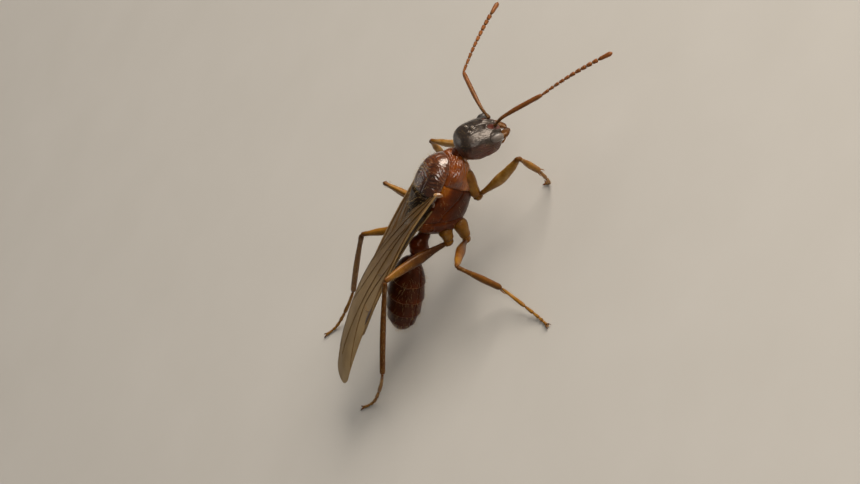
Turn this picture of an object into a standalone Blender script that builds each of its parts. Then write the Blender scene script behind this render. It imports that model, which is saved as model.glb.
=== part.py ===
"""A winged queen ant standing with its head raised, at life size.

Lengths are millimetres. Points of the body are given in the ant's own frame, x forward, y to its
left and z up from the middle of the thorax; body_frame() brings them to the level frame, in which
the floor is z = 0. The empty called ant scales the level frame to metres and centres it.
"""
from math import asin, cos, pi, radians, sin

import bmesh
import bpy
from mathutils import Matrix, Vector

# ---- driving sizes -------------------------------------------------------------------------
MILLIMETRE = 0.001
PITCH = 25.0            # the body is held head-up by this many degrees
THORAX_HEIGHT = 4.8     # middle of the thorax above the floor
CENTRE = (-0.464, -0.632)  # middle of the model's plan, in the level frame
GAP = 0.04              # clearance between neighbouring pieces
SHELL = 0.5             # thickness of a wing

HEAD_CENTRE = (3.7, 0.0, -1.18)
HEAD_TURN = 63.0        # the face is turned down from the body's axis by this many degrees
HEAD_HALF = (1.32, 1.25, 0.88)
HEAD_ROUNDNESS = 2.5
EYE_PLACE = (0.84, 1.06, 0.4)
EYE_HALF = (0.36, 0.26, 0.33)
EYE_TURN = 25.0         # an eye faces upwards by this many degrees
MANDIBLE_PATH = ((0.95, 0.62, 0.12), (1.45, 0.56, 0.1), (1.72, 0.42, 0.06), (1.88, 0.24, 0.02))
MANDIBLE_RADII = (0.3, 0.27, 0.22, 0.14)

NECK_REAR = (2.3, 0.0, -0.2)
NECK_FRONT = (3.2, 0.0, -0.5)
NECK_RADII = (0.45, 0.42, 0.4)

THORAX_MIDDLE_X = 0.13
THORAX_HALF_LENGTH = 2.52
THORAX_ROUNDNESS = 2.5
THORAX_TOP = 1.7
THORAX_BOTTOM = 1.62
THORAX_HALF_WIDTH = 1.3
THORAX_RISE = 0.05      # how much higher the back is in front than at the middle, as a share
THORAX_SWELL = 0.08     # how much wider it is in front
BELLY_TAPER = 0.12      # how much shallower the underside is in front
MIDLINE = (0.05, -0.1, 0.12)  # middle height, its slope and its curve along the thorax
SEAM_POINT = (1.0, 0.0, 0.74)   # the seam under the back plates comes down towards the head
SEAM_NORMAL = (0.215, 0.0, 0.977)
COLLAR_POINT = (1.0, 0.0, -0.6)  # the seam behind the pronotum
COLLAR_NORMAL = (0.98, 0.0, -0.2)
SCUTUM_REAR = 0.3               # where the scutum ends and the scutellum starts
HIPS_POINT = (-1.15, 0.0, 0.0)   # the seam in front of the propodeum
HIPS_NORMAL = (-1.0, 0.0, -0.25)

PETIOLE_FRONT = (-2.2, 0.0, 0.35)
PETIOLE_REAR = (-4.5, 0.0, 0.55)
PETIOLE_RADII = (0.36, 0.36, 0.5, 0.62, 0.48, 0.36, 0.36)
PETIOLE_BOW = 0.12
GASTER_CENTRE = (-6.55, 0.0, 0.52)
GASTER_DROOP = 6.0
GASTER_HALF = (2.45, 1.15, 1.0)
GASTER_ROUNDNESS = 2.15
GASTER_SEAMS = (0.95, -0.1, -1.05, -1.8)

# a leg: coxa root and trochanter in the ant's own frame, then femur, tibia and tarsus, each as
# length, heading outwards from straight ahead, and rise over the level, in degrees
LEGS = {
    "front_right": ((2.03, -0.65, -0.53), (0.42, -0.8, -1.75), (4.18, 27, 12), (2.2, 249, -75), (2.64, 240)),
    "middle_right": ((-1.1, -0.7, -1.0), (-2.3, -0.8, -1.85), (3.95, 101, 29), (3.0, 64, -76), (4.0, 81)),
    "hind_right": ((-1.7, -0.6, -0.3), (-2.53, -0.8, -0.86), (4.74, 155, 39), (6.1, 174, -36), (4.7, 215)),
    "front_left": ((2.03, 0.65, -0.53), (2.5, 1.35, -2.2), (4.18, 121, 4), (2.2, 128, -62), (2.64, 100)),
    "middle_left": ((-1.1, 0.7, -1.0), (-2.1, 1.0, -1.85), (4.6, 111, 56), (3.2, 110, -78), (4.0, 118)),
    "hind_left": ((-1.7, 0.6, -0.3), (-2.53, 0.8, -0.86), (4.6, 148, 32), (6.0, 152, -38), (4.5, 158)),
}
FRONT_FEMUR_BOW = -0.2   # a front femur sags between its ends, the others arch
FEMUR_BOW = 0.1
TIBIA_BOW = 0.05
COXA_RADII = (0.42, 0.44, 0.3)
FEMUR_RADII = (0.25, 0.3, 0.36, 0.35, 0.3, 0.25)
TIBIA_RADII = (0.25, 0.27, 0.29, 0.27, 0.25)
TARSUS_RADII = (0.25, 0.25, 0.25, 0.25, 0.25, 0.25)
FOOT_HEIGHT = 0.19      # middle of a foot above the floor, less than its radius, so it is cut flat
FOOT_SHARES = (0, 0.25, 0.5, 0.7, 0.85, 1.0)   # places along a tarsus
FOOT_HEIGHTS = (1, 0.62, 0.3, 0.08, 0, 0)      # and how much of the ankle's height is left there

SCAPE_ROOT = (1.05, 0.42, 0.7)
SCAPE_RADII = (0.25, 0.25, 0.25, 0.27, 0.25)
FUNICULUS_RADII = (0.25, 0.25, 0.26, 0.26, 0.25)
SCAPE_BOW = 0.12
FUNICULUS_BOW = 0.15
# scape and funiculus, each as length, heading and rise
FEELERS = {"right": ((3.4, 20, -5), (4.8, 22, -7)), "left": ((3.4, 76, 20), (4.8, 35, -10))}

# a wing: hinge, tip, reach of the leading edge outwards, widest chord, its layers under the top
# one at the hinge and at the tip, and its chord at the tip
WINGS = {
    "forewing_right": ((0.75, -1.32, 1.05), (-12.5, -1.05), 0.2, 1.45, 0, 0, 1.45),
    "forewing_left": ((0.75, 1.32, 1.05), (-12.1, 0.9), 0.1, 1.45, 1, 1, 0.8),
    "hindwing_right": ((-0.35, -1.2, 0.95), (-9.4, -0.55), 0.0, 0.45, 1, 2, 0.7),
    "hindwing_left": ((-0.35, 1.25, 0.45), (-9.4, 1.05), 0.1, 0.3, 2, 2, 0.7),
}
HINGE_SLOPE = 7.0       # a wing has left its hinge's height after one part in this many
LAYER_CHANGE = 4.5      # a wing has reached its tip's layer after one part in this many
BOW_REACH = 1.1         # the leading edge's bow ends at one part in this many before the tip
CHORD_SKEW = 1.15       # over 1, the widest place lies further out
CHORD_FULLNESS = 0.9    # under 1, the planform is fuller
ROOT_CHORD = 0.35
TIP_END = 0.6           # the last edge is this much of the chord at the tip
WING_CREST = 3.28      # highest line of the folded wings over the ant's own frame
WING_CREST_X = -10.5
WING_CURVE = 0.0145     # how fast the wings come down from the crest towards the hinges
WING_ARCH = 0.06        # how fast they come down to the sides

COLOURS = {
    "head": (0.052, 0.036, 0.03), "eye": (0.03, 0.028, 0.028), "amber": (0.48, 0.2, 0.055),
    "mandible": (0.5, 0.2, 0.06), "back": (0.06, 0.028, 0.018), "side": (0.24, 0.07, 0.025),
    "pronotum": (0.3, 0.1, 0.035), "waist": (0.35, 0.13, 0.04), "gaster": (0.17, 0.055, 0.022),
    "wing": (0.3, 0.25, 0.16),
}


# ---- frames and scene ----------------------------------------------------------------------
def clear_scene():
    for item in list(bpy.data.objects):
        bpy.data.objects.remove(item, do_unlink=True)


def body_frame():
    return Matrix.Translation((0, 0, THORAX_HEIGHT)) @ Matrix.Rotation(radians(-PITCH), 4, "Y")


def head_frame():
    return body_frame() @ Matrix.Translation(HEAD_CENTRE) @ Matrix.Rotation(radians(HEAD_TURN), 4, "Y")


def on_body(point):
    return body_frame() @ Vector(point)


def heading(outward, rise, side):
    """Unit vector in the level frame; side is -1 on the right and 1 on the left."""
    turn, lift = radians(outward), radians(rise)
    return Vector((cos(turn) * cos(lift), side * sin(turn) * cos(lift), sin(lift)))


def make_material(name, colour, roughness):
    material = bpy.data.materials.new(name)
    material.use_nodes = True
    shader = material.node_tree.nodes["Principled BSDF"]
    shader.inputs["Base Color"].default_value = (*colour, 1.0)
    shader.inputs["Roughness"].default_value = roughness
    shader.inputs["Metallic"].default_value = 0.0
    material.diffuse_color = (*colour, 1.0)
    return material


def add_piece(name, bm, colour, roughness=0.35):
    bmesh.ops.recalc_face_normals(bm, faces=bm.faces)
    mesh = bpy.data.meshes.new(name)
    bm.to_mesh(mesh)
    bm.free()
    piece = bpy.data.objects.new(name, mesh)
    mesh.materials.append(make_material(name, COLOURS[colour], roughness))
    bpy.data.collections["Winged queen ant"].objects.link(piece)
    piece.parent = bpy.data.objects["ant"]
    return piece


def add_cutter(name, bm):
    bmesh.ops.recalc_face_normals(bm, faces=bm.faces)
    mesh = bpy.data.meshes.new(name)
    bm.to_mesh(mesh)
    bm.free()
    cutter = bpy.data.objects.new(name, mesh)
    bpy.data.collections["Cutters"].objects.link(cutter)
    cutter.parent = bpy.data.objects["ant"]
    cutter.hide_render = True
    cutter.display_type = "WIRE"
    return cutter


def fit_against(piece, *cutters):
    """Take from a piece what lies inside its neighbours, which the cutters hold enlarged."""
    for cutter in cutters:
        cut = piece.modifiers.new("fit to " + cutter.name, "BOOLEAN")
        cut.operation = "DIFFERENCE"
        cut.solver = "EXACT"
        cut.object = cutter


# ---- modelling functions -------------------------------------------------------------------
def keep_side(bm, point, normal):
    """Cut the mesh by a plane, keep what lies on the normal's side and close the cut."""
    bmesh.ops.bisect_plane(bm, geom=bm.verts[:] + bm.edges[:] + bm.faces[:], dist=1e-6,
                           plane_co=point, plane_no=normal, clear_inner=True)
    rim = [edge for edge in bm.edges if edge.is_boundary]
    if rim:
        bmesh.ops.holes_fill(bm, edges=rim, sides=0)


def egg(half, roundness=2.0, segments=16, rings=12):
    """A sphere with its poles on x, squared off by its roundness and stretched."""
    bm = bmesh.new()
    bmesh.ops.create_uvsphere(bm, u_segments=segments, v_segments=rings, radius=1.0)
    bmesh.ops.rotate(bm, verts=bm.verts, cent=(0, 0, 0), matrix=Matrix.Rotation(pi / 2, 3, "Y"))
    for vertex in bm.verts:
        size = sum(abs(part) ** roundness for part in vertex.co) ** (1 / roundness)
        vertex.co = Vector(part / size * length for part, length in zip(vertex.co, half))
    return bm


def swell(bm, amount):
    bm.normal_update()
    for vertex in bm.verts:
        vertex.co += vertex.normal * amount


def tube(path, radii):
    """A tube through the points, as thick at each as its radius says, with closed ends."""
    curve = bpy.data.curves.new("tube", "CURVE")
    curve.dimensions = "3D"
    curve.bevel_depth = 1.0
    curve.bevel_resolution = 2
    curve.use_fill_caps = True
    spline = curve.splines.new("POLY")
    spline.points.add(len(path) - 1)
    for point, place, radius in zip(spline.points, path, radii):
        point.co = (*place, 1.0)
        point.radius = radius
    holder = bpy.data.objects.new("tube", curve)
    bpy.context.scene.collection.objects.link(holder)
    mesh = bpy.data.meshes.new_from_object(holder.evaluated_get(bpy.context.evaluated_depsgraph_get()))
    bm = bmesh.new()
    bm.from_mesh(mesh)
    bmesh.ops.remove_doubles(bm, verts=bm.verts, dist=1e-5)
    bpy.data.objects.remove(holder)
    bpy.data.meshes.remove(mesh)
    return bm


def along(start, end, count, sag=0.0):
    """Points on the way from start to end, bowed upwards in the level frame by sag."""
    points = []
    for step in range(count):
        share = step / (count - 1)
        points.append(start.lerp(end, share) + Vector((0, 0, sag * 4 * share * (1 - share))))
    return points


def joint_plane(before, joint, after):
    """Where two limbs meet: the joint and the direction across it."""
    across = (joint - before).normalized() + (after - joint).normalized()
    return joint, across.normalized()


def limb(path, radii, start_plane=None, end_plane=None):
    """A tube cut back by half the gap at the planes it shares with its neighbours."""
    first = path[0] - (path[1] - path[0]).normalized() * (radii[0] * 0.5 if start_plane else 0)
    last = path[-1] + (path[-1] - path[-2]).normalized() * (radii[-1] * 0.5 if end_plane else 0)
    bm = tube([first] + path[1:-1] + [last], radii)
    if start_plane:
        keep_side(bm, start_plane[0] + start_plane[1] * GAP / 2, start_plane[1])
    if end_plane:
        keep_side(bm, end_plane[0] - end_plane[1] * GAP / 2, -end_plane[1])
    return bm


# ---- head ----------------------------------------------------------------------------------
def head_solid(grown=0.0):
    bm = egg(HEAD_HALF, HEAD_ROUNDNESS)
    swell(bm, grown)
    bm.transform(head_frame())
    return bm


def make_head():
    add_piece("head", head_solid(), "head", 0.3)
    return add_cutter("head_room", head_solid(GAP))


def make_eyes(head_room):
    for side, name in ((-1, "eye_right"), (1, "eye_left")):
        bm = egg(EYE_HALF, segments=14, rings=8)
        place = (EYE_PLACE[0], side * EYE_PLACE[1], EYE_PLACE[2])
        turn = Matrix.Rotation(radians(-side * EYE_TURN), 4, "X")
        bm.transform(head_frame() @ Matrix.Translation(place) @ turn)
        fit_against(add_piece(name, bm, "eye", 0.2), head_room)


def make_mandibles(head_room):
    for side, name in ((-1, "mandible_right"), (1, "mandible_left")):
        path = [head_frame() @ Vector((x, side * y, z)) for x, y, z in MANDIBLE_PATH]
        fit_against(add_piece(name, tube(path, MANDIBLE_RADII), "mandible"), head_room)


def make_feelers(head_room):
    for side, name in ((-1, "right"), (1, "left")):
        scape_run, funiculus_run = (heading(*run[1:], side) * run[0] for run in FEELERS[name])
        root = head_frame() @ Vector((SCAPE_ROOT[0], side * SCAPE_ROOT[1], SCAPE_ROOT[2]))
        elbow = root + scape_run
        tip = elbow + funiculus_run
        bend = joint_plane(root, elbow, tip)
        scape = limb(along(root, elbow, len(SCAPE_RADII), SCAPE_BOW), SCAPE_RADII, end_plane=bend)
        fit_against(add_piece("scape_" + name, scape, "amber"), head_room)
        whip = along(elbow, tip, len(FUNICULUS_RADII), FUNICULUS_BOW)
        funiculus = limb(whip, FUNICULUS_RADII, start_plane=bend)
        add_piece("funiculus_" + name, funiculus, "amber")


# ---- thorax --------------------------------------------------------------------------------
def thorax_solid(grown=0.0):
    """An egg, higher in front of its middle and slimmer to the rear."""
    bm = egg((1, 1, 1), THORAX_ROUNDNESS, segments=18, rings=14)
    for vertex in bm.verts:
        ahead, left, up = vertex.co
        top, bottom = THORAX_TOP * (1 + THORAX_RISE * ahead), THORAX_BOTTOM * (1 - BELLY_TAPER * ahead)
        height = top if up > 0 else bottom
        width = THORAX_HALF_WIDTH * (1 + THORAX_SWELL * ahead)
        middle = MIDLINE[0] + MIDLINE[1] * ahead + MIDLINE[2] * ahead * ahead
        vertex.co = (THORAX_MIDDLE_X + ahead * THORAX_HALF_LENGTH, left * width, middle + up * height)
    swell(bm, grown)
    return bm


def make_thorax():
    half = GAP / 2
    seam = Vector(SEAM_POINT), Vector(SEAM_NORMAL).normalized()
    collar = Vector(COLLAR_POINT), Vector(COLLAR_NORMAL).normalized()
    hips = Vector(HIPS_POINT), Vector(HIPS_NORMAL).normalized()
    back = Vector((SCUTUM_REAR, 0, 0)), Vector((1, 0, 0))
    pieces = {
        "pronotum": ("pronotum", [(seam, -1), (collar, 1)]),
        "mesoscutum": ("back", [(seam, 1), (back, 1)]),
        "scutellum": ("back", [(seam, 1), (back, -1), (hips, -1)]),
        "mesopleuron": ("side", [(seam, -1), (collar, -1), (hips, -1)]),
        "propodeum": ("side", [(hips, 1)]),
    }
    for name, (colour, planes) in pieces.items():
        bm = thorax_solid()
        for (point, normal), keep in planes:
            keep_side(bm, point + normal * keep * half, normal * keep)
        bm.transform(body_frame())
        add_piece(name, bm, colour, 0.25)
    room = thorax_solid(GAP)
    room.transform(body_frame())
    return add_cutter("thorax_room", room)


def make_neck(head_room, thorax_room):
    path = along(on_body(NECK_REAR), on_body(NECK_FRONT), len(NECK_RADII))
    fit_against(add_piece("neck", tube(path, NECK_RADII), "side"), head_room, thorax_room)


# ---- waist and gaster ----------------------------------------------------------------------
def gaster_frame():
    return body_frame() @ Matrix.Translation(GASTER_CENTRE) @ Matrix.Rotation(radians(-GASTER_DROOP), 4, "Y")


def gaster_solid(grown=0.0):
    bm = egg(GASTER_HALF, GASTER_ROUNDNESS, segments=16, rings=16)
    swell(bm, grown)
    return bm


def make_gaster():
    edges = (GASTER_HALF[0] + 1, *GASTER_SEAMS, -GASTER_HALF[0] - 1)
    forward = Vector((1, 0, 0))
    for number in range(len(edges) - 1):
        bm = gaster_solid()
        front, rear = edges[number], edges[number + 1]
        keep_side(bm, forward * (front - GAP / 2), -forward)
        keep_side(bm, forward * (rear + GAP / 2), forward)
        bm.transform(gaster_frame())
        add_piece("gaster_%d" % (number + 1), bm, "gaster", 0.3)
    room = gaster_solid(GAP)
    room.transform(gaster_frame())
    return add_cutter("gaster_room", room)


def make_petiole(thorax_room, gaster_room):
    front, rear = on_body(PETIOLE_FRONT), on_body(PETIOLE_REAR)
    path = along(front, rear, len(PETIOLE_RADII), PETIOLE_BOW)
    piece = add_piece("petiole", tube(path, PETIOLE_RADII), "waist")
    fit_against(piece, thorax_room, gaster_room)


# ---- legs ----------------------------------------------------------------------------------
def tarsus_path(ankle, length, outward, side):
    """From the ankle down to the floor, with the last part flat on it."""
    drop = ankle.z - FOOT_HEIGHT
    run = heading(outward, 0, side) * length * cos(asin(drop / length))
    return [ankle + run * share - Vector((0, 0, drop * (1 - height)))
            for share, height in zip(FOOT_SHARES, FOOT_HEIGHTS)]


def make_leg(name, thorax_room):
    side = -1 if name.endswith("right") else 1
    root, hip, femur, tibia, tarsus = LEGS[name]
    root, hip = on_body(root), on_body(hip)
    knee = hip + heading(*femur[1:], side) * femur[0]
    ankle = knee + heading(*tibia[1:], side) * tibia[0]
    foot = tarsus_path(ankle, *tarsus, side)
    hip_plane = joint_plane(root, hip, knee)
    knee_plane = joint_plane(hip, knee, ankle)
    ankle_plane = joint_plane(knee, ankle, foot[1])
    coxa = limb(along(root, hip, len(COXA_RADII)), COXA_RADII, end_plane=hip_plane)
    fit_against(add_piece("coxa_" + name, coxa, "amber"), thorax_room)
    bow = FRONT_FEMUR_BOW if name.startswith("front") else FEMUR_BOW
    thigh = limb(along(hip, knee, len(FEMUR_RADII), bow), FEMUR_RADII, hip_plane, knee_plane)
    add_piece("femur_" + name, thigh, "amber")
    shin = limb(along(knee, ankle, len(TIBIA_RADII), TIBIA_BOW), TIBIA_RADII, knee_plane, ankle_plane)
    add_piece("tibia_" + name, shin, "amber")
    sole = limb(foot, TARSUS_RADII, start_plane=ankle_plane)
    keep_side(sole, Vector((0, 0, 0)), Vector((0, 0, 1)))
    add_piece("tarsus_" + name, sole, "amber")


# ---- wings ---------------------------------------------------------------------------------
def wing_height(x, y, layer):
    crest = WING_CREST - WING_CURVE * (x - WING_CREST_X) ** 2
    return crest - WING_ARCH * y * y - layer * (SHELL + GAP)


def make_wing(name, thorax_room):
    """A grid laid from hinge to tip, its leading edge outwards and its rear edge inwards."""
    hinge, tip, bow, chord, root_layer, tip_layer, tip_chord = WINGS[name]
    side = -1 if name.endswith("right") else 1
    bm = bmesh.new()
    bmesh.ops.create_grid(bm, x_segments=12, y_segments=3, size=0.5)
    for vertex in bm.verts:
        out, across = vertex.co.x + 0.5, vertex.co.y + 0.5
        x = hinge[0] + (tip[0] - hinge[0]) * out
        lead = hinge[1] + (tip[1] - hinge[1]) * out + side * bow * sin(pi * min(1.0, out * BOW_REACH))
        fullness = sin(pi * min(1.0, out ** CHORD_SKEW)) ** CHORD_FULLNESS
        width = ROOT_CHORD * (1 - out) + chord * fullness + tip_chord * out
        kept = TIP_END if out > 0.99 else 1.0
        y = lead - side * width * ((1 - kept) / 2 + across * kept)
        layer = root_layer + (tip_layer - root_layer) * min(1.0, out * LAYER_CHANGE)
        root_lift = hinge[2] - wing_height(hinge[0], hinge[1], root_layer)
        vertex.co = (x, y, wing_height(x, y, layer) + root_lift * max(0.0, 1 - out * HINGE_SLOPE))
    bm.transform(body_frame())
    wing = add_piece(name, bm, "wing", 0.4)
    thick = wing.modifiers.new("thickness", "SOLIDIFY")
    thick.thickness = SHELL
    thick.offset = 0.0
    fit_against(wing, thorax_room)


def build():
    clear_scene()
    for name in ("Winged queen ant", "Cutters"):
        collection = bpy.data.collections.new(name)
        bpy.context.scene.collection.children.link(collection)
    root = bpy.data.objects.new("ant", None)
    bpy.data.collections["Winged queen ant"].objects.link(root)
    root.scale = (MILLIMETRE,) * 3
    root.location = (-CENTRE[0] * MILLIMETRE, -CENTRE[1] * MILLIMETRE, 0)
    head_room = make_head()
    thorax_room = make_thorax()
    gaster_room = make_gaster()
    make_eyes(head_room)
    make_mandibles(head_room)
    make_feelers(head_room)
    make_neck(head_room, thorax_room)
    make_petiole(thorax_room, gaster_room)
    for name in LEGS:
        make_leg(name, thorax_room)
    for name in WINGS:
        make_wing(name, thorax_room)


build()
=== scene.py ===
# %% [markdown]
# # A winged queen ant, standing
#
# An insect has no skin over bones: its outside is a set of hard plates, the cuticle, joined by soft
# membrane. So this model is built as a maker would build a large museum ant: each plate and each
# limb segment is a closed shell of its own, the shells meet in grooves, and hairs and wings come last.
#
# The solid model is loaded first and stays where it is. Every shell made here stands in for one of
# its solids and keeps that solid's place, so the sizes can't drift apart.

# %% Load the solid model
import random
from math import acos, atan2, cos, exp, pi, radians, sin, sqrt

import bmesh
import bpy
from mathutils import Matrix, Vector, noise


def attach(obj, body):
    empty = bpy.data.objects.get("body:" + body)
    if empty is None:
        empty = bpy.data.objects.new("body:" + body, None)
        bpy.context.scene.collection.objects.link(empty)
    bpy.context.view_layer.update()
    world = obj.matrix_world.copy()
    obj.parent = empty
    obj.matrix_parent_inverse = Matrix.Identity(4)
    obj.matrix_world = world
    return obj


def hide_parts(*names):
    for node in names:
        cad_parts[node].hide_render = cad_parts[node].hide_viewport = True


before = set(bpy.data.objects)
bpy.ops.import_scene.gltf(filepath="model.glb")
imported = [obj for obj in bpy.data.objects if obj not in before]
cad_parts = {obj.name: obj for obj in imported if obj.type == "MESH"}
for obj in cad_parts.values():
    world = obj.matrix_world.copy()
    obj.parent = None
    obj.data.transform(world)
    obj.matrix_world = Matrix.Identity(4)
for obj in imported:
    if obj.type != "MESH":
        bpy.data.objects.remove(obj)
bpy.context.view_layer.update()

MILLIMETRE = 0.001
MICROMETRE = 1e-6

# %% [markdown]
# ## One frame for every piece
#
# An ant stands tilted, and its head hangs from the body at another angle again. Modelling each part
# straight, in a frame of its own, and turning it into place at the end is far easier than modelling
# it tilted: left and right stay plain mirror images. Lengths are millimetres here, and a piece is
# scaled to metres only when it is finished.

# %% The ant's own frame, the head's and the gaster's
PITCH = 25.0              # the body is held head-up by this many degrees
THORAX_HEIGHT = 4.8       # middle of the thorax above the floor
PLAN_CENTRE = (-0.464, -0.632)     # middle of the whole ant's plan, seen from the thorax's middle
HEAD_CENTRE = (3.7, 0.0, -1.18)
HEAD_TURN = 63.0          # the face is turned down from the body's axis by this many degrees
GASTER_CENTRE = (-6.55, 0.0, 0.52)
GASTER_DROOP = 6.0

BODY = Matrix.Translation((0, 0, THORAX_HEIGHT)) @ Matrix.Rotation(radians(-PITCH), 4, "Y")
HEAD = BODY @ Matrix.Translation(HEAD_CENTRE) @ Matrix.Rotation(radians(HEAD_TURN), 4, "Y")
GASTER = BODY @ Matrix.Translation(GASTER_CENTRE) @ Matrix.Rotation(radians(-GASTER_DROOP), 4, "Y")
TO_METRES = (Matrix.Scale(MILLIMETRE, 4)
             @ Matrix.Translation((-PLAN_CENTRE[0], -PLAN_CENTRE[1], 0)))


def heading(outward, rise, side):
    """Unit vector in the level frame; side is -1 on the right and 1 on the left."""
    turn, lift = radians(outward), radians(rise)
    return Vector((cos(turn) * cos(lift), side * sin(turn) * cos(lift), sin(lift)))


def step(low, high, value):
    """0 below low, 1 above high, and a smooth rise between them."""
    share = max(0.0, min(1.0, (value - low) / (high - low)))
    return share * share * (3 - 2 * share)


def hump(distance, width):
    """1 at no distance, falling off to nothing over about twice the width."""
    return exp(-(distance / width) ** 2)


# %% [markdown]
# ## Finishes: what cuticle looks like
#
# Cuticle is a natural plastic: clear layers of chitin and protein over pigment. Thick plates are
# almost black-brown and shine like varnish, thin ones are amber and let light into them, and each
# plate is darker where it is thickest. One flat colour looks painted, so every shell carries a
# number at each of its points, called its tone, which runs from dark and thick at 0 to pale and
# thin at 1. The material turns that number into colour through a ramp, with a little mottling.
# In a few places the tone also holds painted shade or a painted highlight, and a comment says so there.

# %% Nodes and colours
def add(tree, kind, settings=(), links=()):
    """Add a node, with its settings and input values, and join earlier outputs to its inputs."""
    node = tree.nodes.new(kind)
    for name, value in dict(settings).items():
        if isinstance(name, int) or name in node.inputs:
            node.inputs[name].default_value = value
        else:
            setattr(node, name, value)
    for name, output in dict(links).items():
        tree.links.new(output, node.inputs[name])
    return node


def linear(colour):
    """A linear colour from an sRGB hex such as 4c3b2f."""
    parts = [int(colour[at:at + 2], 16) / 255 for at in (0, 2, 4)]
    return [part / 12.92 if part < 0.04045 else ((part + 0.055) / 1.055) ** 2.4 for part in parts] + [1.0]


def per_mm(size):
    """Texture scale at which one feature is this many millimetres wide."""
    return 1 / (size * MILLIMETRE)


RIB_SWAY_MM = 0.6       # how far apart the ribs swing one way and the other
RIB_SWAY = 0.35         # and how far they swing, in millimetres


# %% Fine ribs
def ribbed(tree, place, waver, bump, rib_mm, rib_um):
    """Add ribs, rib_mm apart, along the lines on which the number called flow is equal."""
    flow = add(tree, "ShaderNodeAttribute", {"attribute_name": "flow"}).outputs["Fac"]
    sway = add(tree, "ShaderNodeTexNoise", {"Scale": per_mm(RIB_SWAY_MM), "Detail": 3.0},
               {"Vector": place})
    swayed = add(tree, "ShaderNodeMath", {"operation": "MULTIPLY_ADD", 1: RIB_SWAY},
                 {0: sway.outputs["Fac"], 2: flow})
    turns = add(tree, "ShaderNodeMath", {"operation": "MULTIPLY", 1: 2 * pi / rib_mm},
                {0: swayed.outputs[0]})
    rib = add(tree, "ShaderNodeMath", {"operation": "SINE"}, {0: turns.outputs[0]})
    broken = add(tree, "ShaderNodeMapRange", {"From Min": 0.35, "From Max": 0.6},
                 {"Value": waver.outputs["Fac"]})
    ribs = add(tree, "ShaderNodeMath", {"operation": "MULTIPLY"},
               {0: rib.outputs[0], 1: broken.outputs[0]})
    return add(tree, "ShaderNodeBump", {"Distance": rib_um * MICROMETRE},
               {"Height": ribs.outputs[0], "Normal": bump.outputs["Normal"]})


# %% The recipe for cuticle
def cuticle(name, tones, roughness=0.3, coat=0.3, coat_roughness=0.12, coat_ior=1.5, shine=0.35,
            gleam="ffffff", depth_lit=0.0, mottle=0.16, mottle_mm=0.45, grain_mm=0.09, grain_um=2.0,
            rib_mm=0.12, rib_um=0.0, alpha=1.0):
    """Insect cuticle: a pigment ramp under a clear glossy coat, with a fine grain of tiny plates."""
    material = bpy.data.materials.new(name)
    material.use_nodes = True
    tree = material.node_tree
    shader = tree.nodes["Principled BSDF"]
    place = add(tree, "ShaderNodeTexCoord").outputs["Object"]
    tone = add(tree, "ShaderNodeAttribute", {"attribute_name": "tone"}).outputs["Fac"]
    cloud = add(tree, "ShaderNodeTexNoise", {"Scale": per_mm(mottle_mm), "Detail": 5.0}, {"Vector": place})
    swing = add(tree, "ShaderNodeMapRange", {"From Min": 0.3, "From Max": 0.7, "To Min": -mottle,
                "To Max": mottle}, {"Value": cloud.outputs["Fac"]})
    mixed = add(tree, "ShaderNodeMath", {"operation": "ADD", "use_clamp": True},
                {0: tone, 1: swing.outputs[0]})
    ramp = add(tree, "ShaderNodeValToRGB", (), {"Fac": mixed.outputs[0]})
    stops = ramp.color_ramp.elements
    while len(stops) < len(tones):
        stops.new(0.5)
    for stop, (at, colour) in zip(stops, tones):
        stop.position = at
        stop.color = linear(colour)
    grain = add(tree, "ShaderNodeTexVoronoi", {"Scale": per_mm(grain_mm)}, {"Vector": place})
    waver = add(tree, "ShaderNodeTexNoise", {"Scale": per_mm(grain_mm * 2.5), "Detail": 3.0},
                {"Vector": place})
    height = add(tree, "ShaderNodeMath", {"operation": "ADD"},
                 {0: grain.outputs["Distance"], 1: waver.outputs["Fac"]})
    bump = add(tree, "ShaderNodeBump", {"Distance": grain_um * MICROMETRE}, {"Height": height.outputs[0]})
    if rib_um:
        bump = ribbed(tree, place, waver, bump, rib_mm, rib_um)
    worn = add(tree, "ShaderNodeMapRange", {"To Min": roughness * 0.75, "To Max": roughness * 1.3},
               {"Value": cloud.outputs["Fac"]})
    tree.links.new(ramp.outputs["Color"], shader.inputs["Base Color"])
    tree.links.new(worn.outputs[0], shader.inputs["Roughness"])
    for socket in ("Normal", "Coat Normal"):
        tree.links.new(bump.outputs["Normal"], shader.inputs[socket])
    constants = {
        "IOR": 1.5,      # wax over chitin
        "Specular IOR Level": shine, "Specular Tint": linear(gleam), "Coat Weight": coat,
        "Coat Roughness": coat_roughness, "Coat IOR": coat_ior, "Subsurface Weight": depth_lit,
        "Subsurface Radius": (1.0, 0.45, 0.15), "Subsurface Scale": 0.25 * MILLIMETRE, "Alpha": alpha,
    }
    for socket, value in constants.items():
        shader.inputs[socket].default_value = value
    return material


# %% [markdown]
# ## The ant's finishes
#
# Every plate is the same stuff, so every finish is the same recipe with other numbers: what differs
# is how much pigment it holds, how smooth it is and how clear its top layer is. The ramps are read
# from dark, where cuticle is thick, to pale, where it is thin. Grain and ribs are a few hundredths
# of a millimetre wide on a real ant, and are drawn two or three times coarser so that they show.

# %% Finishes of the dark plates
# The head's thick cuticle is black-brown and finely wrinkled, so it shines as a broad silky patch.
head_cuticle = cuticle(
    "black-brown head cuticle", [(0.0, "120c07"), (0.3, "21150c"), (0.6, "461d0c"), (1.0, "581a12")],
    roughness=0.38, coat=0.42, coat_roughness=0.32, shine=0.7, gleam="fff0e4", grain_um=2.5,
    rib_mm=0.11, rib_um=2.5)
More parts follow.
